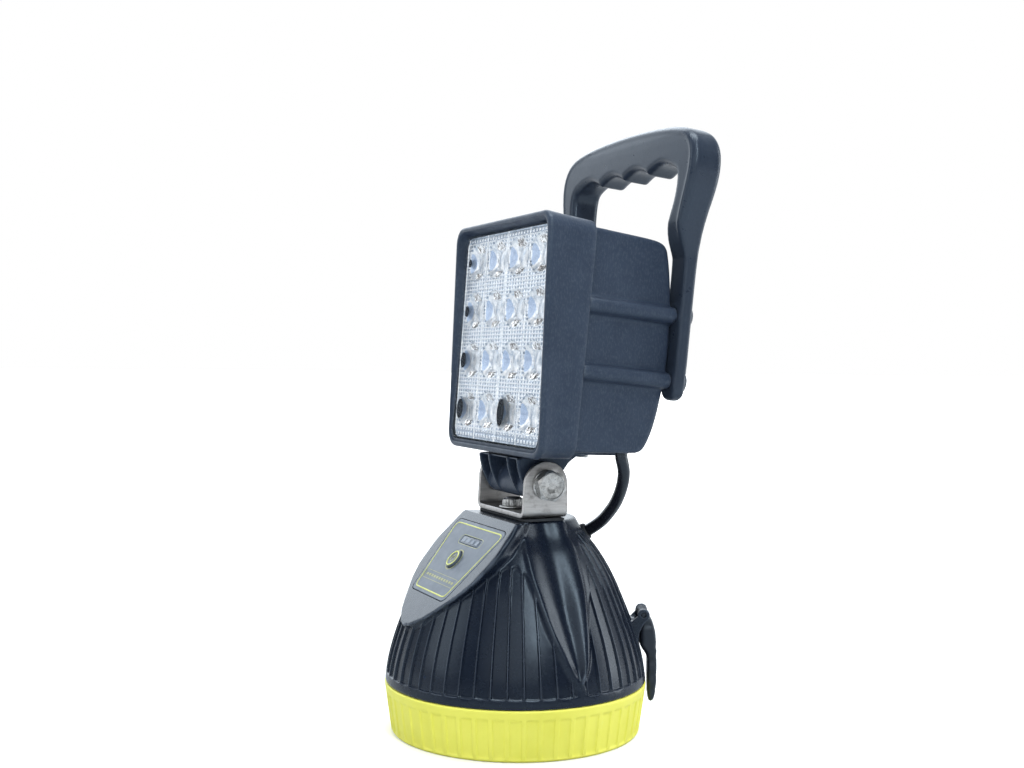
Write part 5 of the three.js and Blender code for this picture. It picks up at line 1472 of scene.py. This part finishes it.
# ------------------------------------------------------------------ studio
def floor_mat():
    g = G('floor_paper')
    n = g.noise(18, 4, 0.6)
    f = g.noise(700, 2, 0.5)
    col = g.mix(g.ramp(n, 0.3, 0.7), (0.90, 0.90, 0.905), (0.915, 0.915, 0.915))
    lpf = g.n('ShaderNodeLightPath')
    cam_ray = lpf.outputs['Is Camera Ray']
    col = g.mix(cam_ray, (0.52, 0.54, 0.56), col)
    pr = g.principled(col, 0.7, 0.0, g.bump([(f, 0.00004, 0.3)]), Specular__IOR__Level=0.1)
    pr.inputs['Emission Color'].default_value = (1, 1, 1, 1)
    ln = g.n('ShaderNodeVectorMath', _operation='LENGTH')
    g.l(g.tc.outputs['Object'], ln.inputs[0])
    far = g.ramp(ln.outputs['Value'], 0.35, 1.1, 0.22, 1.1)
    under = g.math('ADD', g.ramp(ln.outputs['Value'], 0.2, 1.1, 0.0, 0.8), g.ramp(ln.outputs['Value'], 1.6, 3.2, 0.0, 0.7))
    g.l(g.math('MAXIMUM', g.math('MULTIPLY', cam_ray, far), under), pr.inputs['Emission Strength'])
    return g.done(pr)


M['floor'] = floor_mat()
rad = 0.5
prof = [(-3.2, 0.0), (-1.0, 0.0), (1.0, 0.0), (4.0, 0.0), (14.0, 0.0)]
me = bpy.data.meshes.new('studio_floor')
Vf, Ff = [], []
for k, (y, z) in enumerate(prof):
    Vf += [(-12, y, z), (12, y, z)]
    if k:
        a = 2 * (k - 1)
        Ff.append((a, a + 1, a + 3, a + 2))
me.from_pydata(Vf, [], Ff)
floor = bpy.data.objects.new('studio_floor', me)
bpy.context.scene.collection.objects.link(floor)
me.materials.append(M['floor']); me.shade_smooth()
floor.rotation_euler = (0, 0, math.radians(65.5))


def area(name, loc, target, size, power, color=(1, 1, 1), sy=None):
    L = bpy.data.lights.new(name, 'AREA')
    L.shape = 'RECTANGLE' if sy else 'SQUARE'
    L.size = size
    if sy:
        L.size_y = sy
    L.energy = power
    L.color = color
    ob = bpy.data.objects.new(name, L)
    ob.location = loc
    ob.rotation_mode = 'QUATERNION'
    ob.rotation_quaternion = (Vector(target) - Vector(loc)).to_track_quat('-Z', 'Y')
    bpy.context.scene.collection.objects.link(ob)
    return ob


PHI = math.radians(65.54)
FWD = np.array([-math.sin(PHI), math.cos(PHI), 0]); RGT = np.array([math.cos(PHI), math.sin(PHI), 0]); UPV = np.array([0, 0, 1.0])


def cs(r, f, u):                        # camera-aligned stage position: right, away from the camera, up
    return tuple(RGT * r + FWD * f + UPV * u)


area('strip_front', cs(0.36, -0.92, 0.98), (0, 0, 0.14), 0.18, 8.5, (0.90, 0.96, 1.0), 1.0)
area('top_soft', cs(0.12, 0.0, 1.25), (0, 0, 0.12), 0.50, 11.0, (0.93, 0.97, 1.0), 0.8)
area('left_soft', cs(-1.15, -0.35, 0.72), (0, 0, 0.16), 0.75, 6.0, (0.95, 0.98, 1.0), 1.1)
area('right_strip', cs(1.05, 0.10, 0.35), (0, 0, 0.13), 0.30, 5.0, (1, 1, 1), 1.0)
area('front_soft', cs(-0.1, -1.6, 0.75), (0, 0, 0.12), 1.5, 5.0, (1, 1, 1), 0.9)

w = bpy.data.worlds.new('studio_world') if bpy.context.scene.world is None else bpy.context.scene.world
bpy.context.scene.world = w
w.use_nodes = True
nt = w.node_tree
for nd in list(nt.nodes):
    nt.nodes.remove(nd)
out = nt.nodes.new('ShaderNodeOutputWorld'); bg = nt.nodes.new('ShaderNodeBackground')
tcw = nt.nodes.new('ShaderNodeTexCoord')
dotn = nt.nodes.new('ShaderNodeVectorMath'); dotn.operation = 'DOT_PRODUCT'
dotn.inputs[1].default_value = (FWD[0], FWD[1], 0.0)
nt.links.new(tcw.outputs['Generated'], dotn.inputs[0])


def wramp(lo, hi, a, b2):
    m_ = nt.nodes.new('ShaderNodeMapRange'); m_.interpolation_type = 'SMOOTHSTEP'
    for k_, v_ in (('From Min', lo), ('From Max', hi), ('To Min', a), ('To Max', b2)):
        m_.inputs[k_].default_value = v_
    nt.links.new(dotn.outputs['Value'], m_.inputs['Value'])
    return m_.outputs['Result']


addn = nt.nodes.new('ShaderNodeMath'); addn.operation = 'ADD'
dotr = nt.nodes.new('ShaderNodeVectorMath'); dotr.operation = 'DOT_PRODUCT'
dotr.inputs[1].default_value = (-FWD[1], FWD[0], 0.0)            # toward the left of the view
nt.links.new(tcw.outputs['Generated'], dotr.inputs[0])
mr_ = nt.nodes.new('ShaderNodeMapRange'); mr_.interpolation_type = 'SMOOTHSTEP'
for k_, v_ in (('From Min', -0.45), ('From Max', 0.1), ('To Min', 0.3), ('To Max', 1.0)):
    mr_.inputs[k_].default_value = v_
nt.links.new(dotr.outputs['Value'], mr_.inputs['Value'])
sepw = nt.nodes.new('ShaderNodeSeparateXYZ'); nt.links.new(tcw.outputs['Generated'], sepw.inputs[0])
mz_ = nt.nodes.new('ShaderNodeMapRange'); mz_.interpolation_type = 'SMOOTHSTEP'
for k_, v_ in (('From Min', 0.08), ('From Max', 0.34), ('To Min', 0.35), ('To Max', 1.0)):
    mz_.inputs[k_].default_value = v_
nt.links.new(sepw.outputs['Z'], mz_.inputs['Value'])
mulz = nt.nodes.new('ShaderNodeMath'); mulz.operation = 'MULTIPLY'
nt.links.new(mr_.outputs['Result'], mulz.inputs[0]); nt.links.new(mz_.outputs['Result'], mulz.inputs[1])
mulr = nt.nodes.new('ShaderNodeMath'); mulr.operation = 'MULTIPLY'
nt.links.new(wramp(0.45, 0.8, 0.0, 3.3), mulr.inputs[0]); nt.links.new(mulz.outputs[0], mulr.inputs[1])
nt.links.new(wramp(-0.35, 0.35, 0.09, 0.42), addn.inputs[0]); nt.links.new(mulr.outputs[0], addn.inputs[1])
nt.links.new(addn.outputs[0], bg.inputs['Strength'])
bg.inputs['Color'].default_value = (0.86, 0.93, 1.0, 1)
# the camera sees plain white; the object is lit by a dimmer room with the soft lights in it
bgw = nt.nodes.new('ShaderNodeBackground'); bgw.inputs['Color'].default_value = (1, 1, 1, 1); bgw.inputs['Strength'].default_value = 1.0
lp = nt.nodes.new('ShaderNodeLightPath'); mxs = nt.nodes.new('ShaderNodeMixShader')
nt.links.new(lp.outputs['Is Camera Ray'], mxs.inputs[0])
nt.links.new(bg.outputs[0], mxs.inputs[1]); nt.links.new(bgw.outputs[0], mxs.inputs[2])
nt.links.new(mxs.outputs[0], out.inputs['Surface'])
bpy.context.scene.view_settings.view_transform = 'Standard'

# ------------------------------------------------------------------ camera
pitch, yaw, roll = math.radians(1.16), math.radians(-0.24), math.radians(0.45)
c, s = math.cos(yaw), math.sin(yaw)
fwd, rgt = c * FWD + s * RGT, -s * FWD + c * RGT
c, s = math.cos(pitch), math.sin(pitch)
fwd2, up2 = c * fwd - s * UPV, s * fwd + c * UPV
c, s = math.cos(roll), math.sin(roll)
rgt3, up3 = c * rgt + s * up2, -s * rgt + c * up2
cam = bpy.data.cameras.new('camera')
cam.lens = 46.39
cam.sensor_width = 36
cam.clip_start, cam.clip_end = 0.02, 20
co = bpy.data.objects.new('camera', cam)
bpy.context.scene.collection.objects.link(co)
mw = Matrix.Identity(4)
for r in range(3):
    mw[r][0], mw[r][1], mw[r][2] = rgt3[r], up3[r], -fwd2[r]
mw[0][3], mw[1][3], mw[2][3] = 0.5724, -0.2604, 0.1765
co.matrix_world = mw
bpy.context.scene.camera = co

bpy.context.view_layer.update()
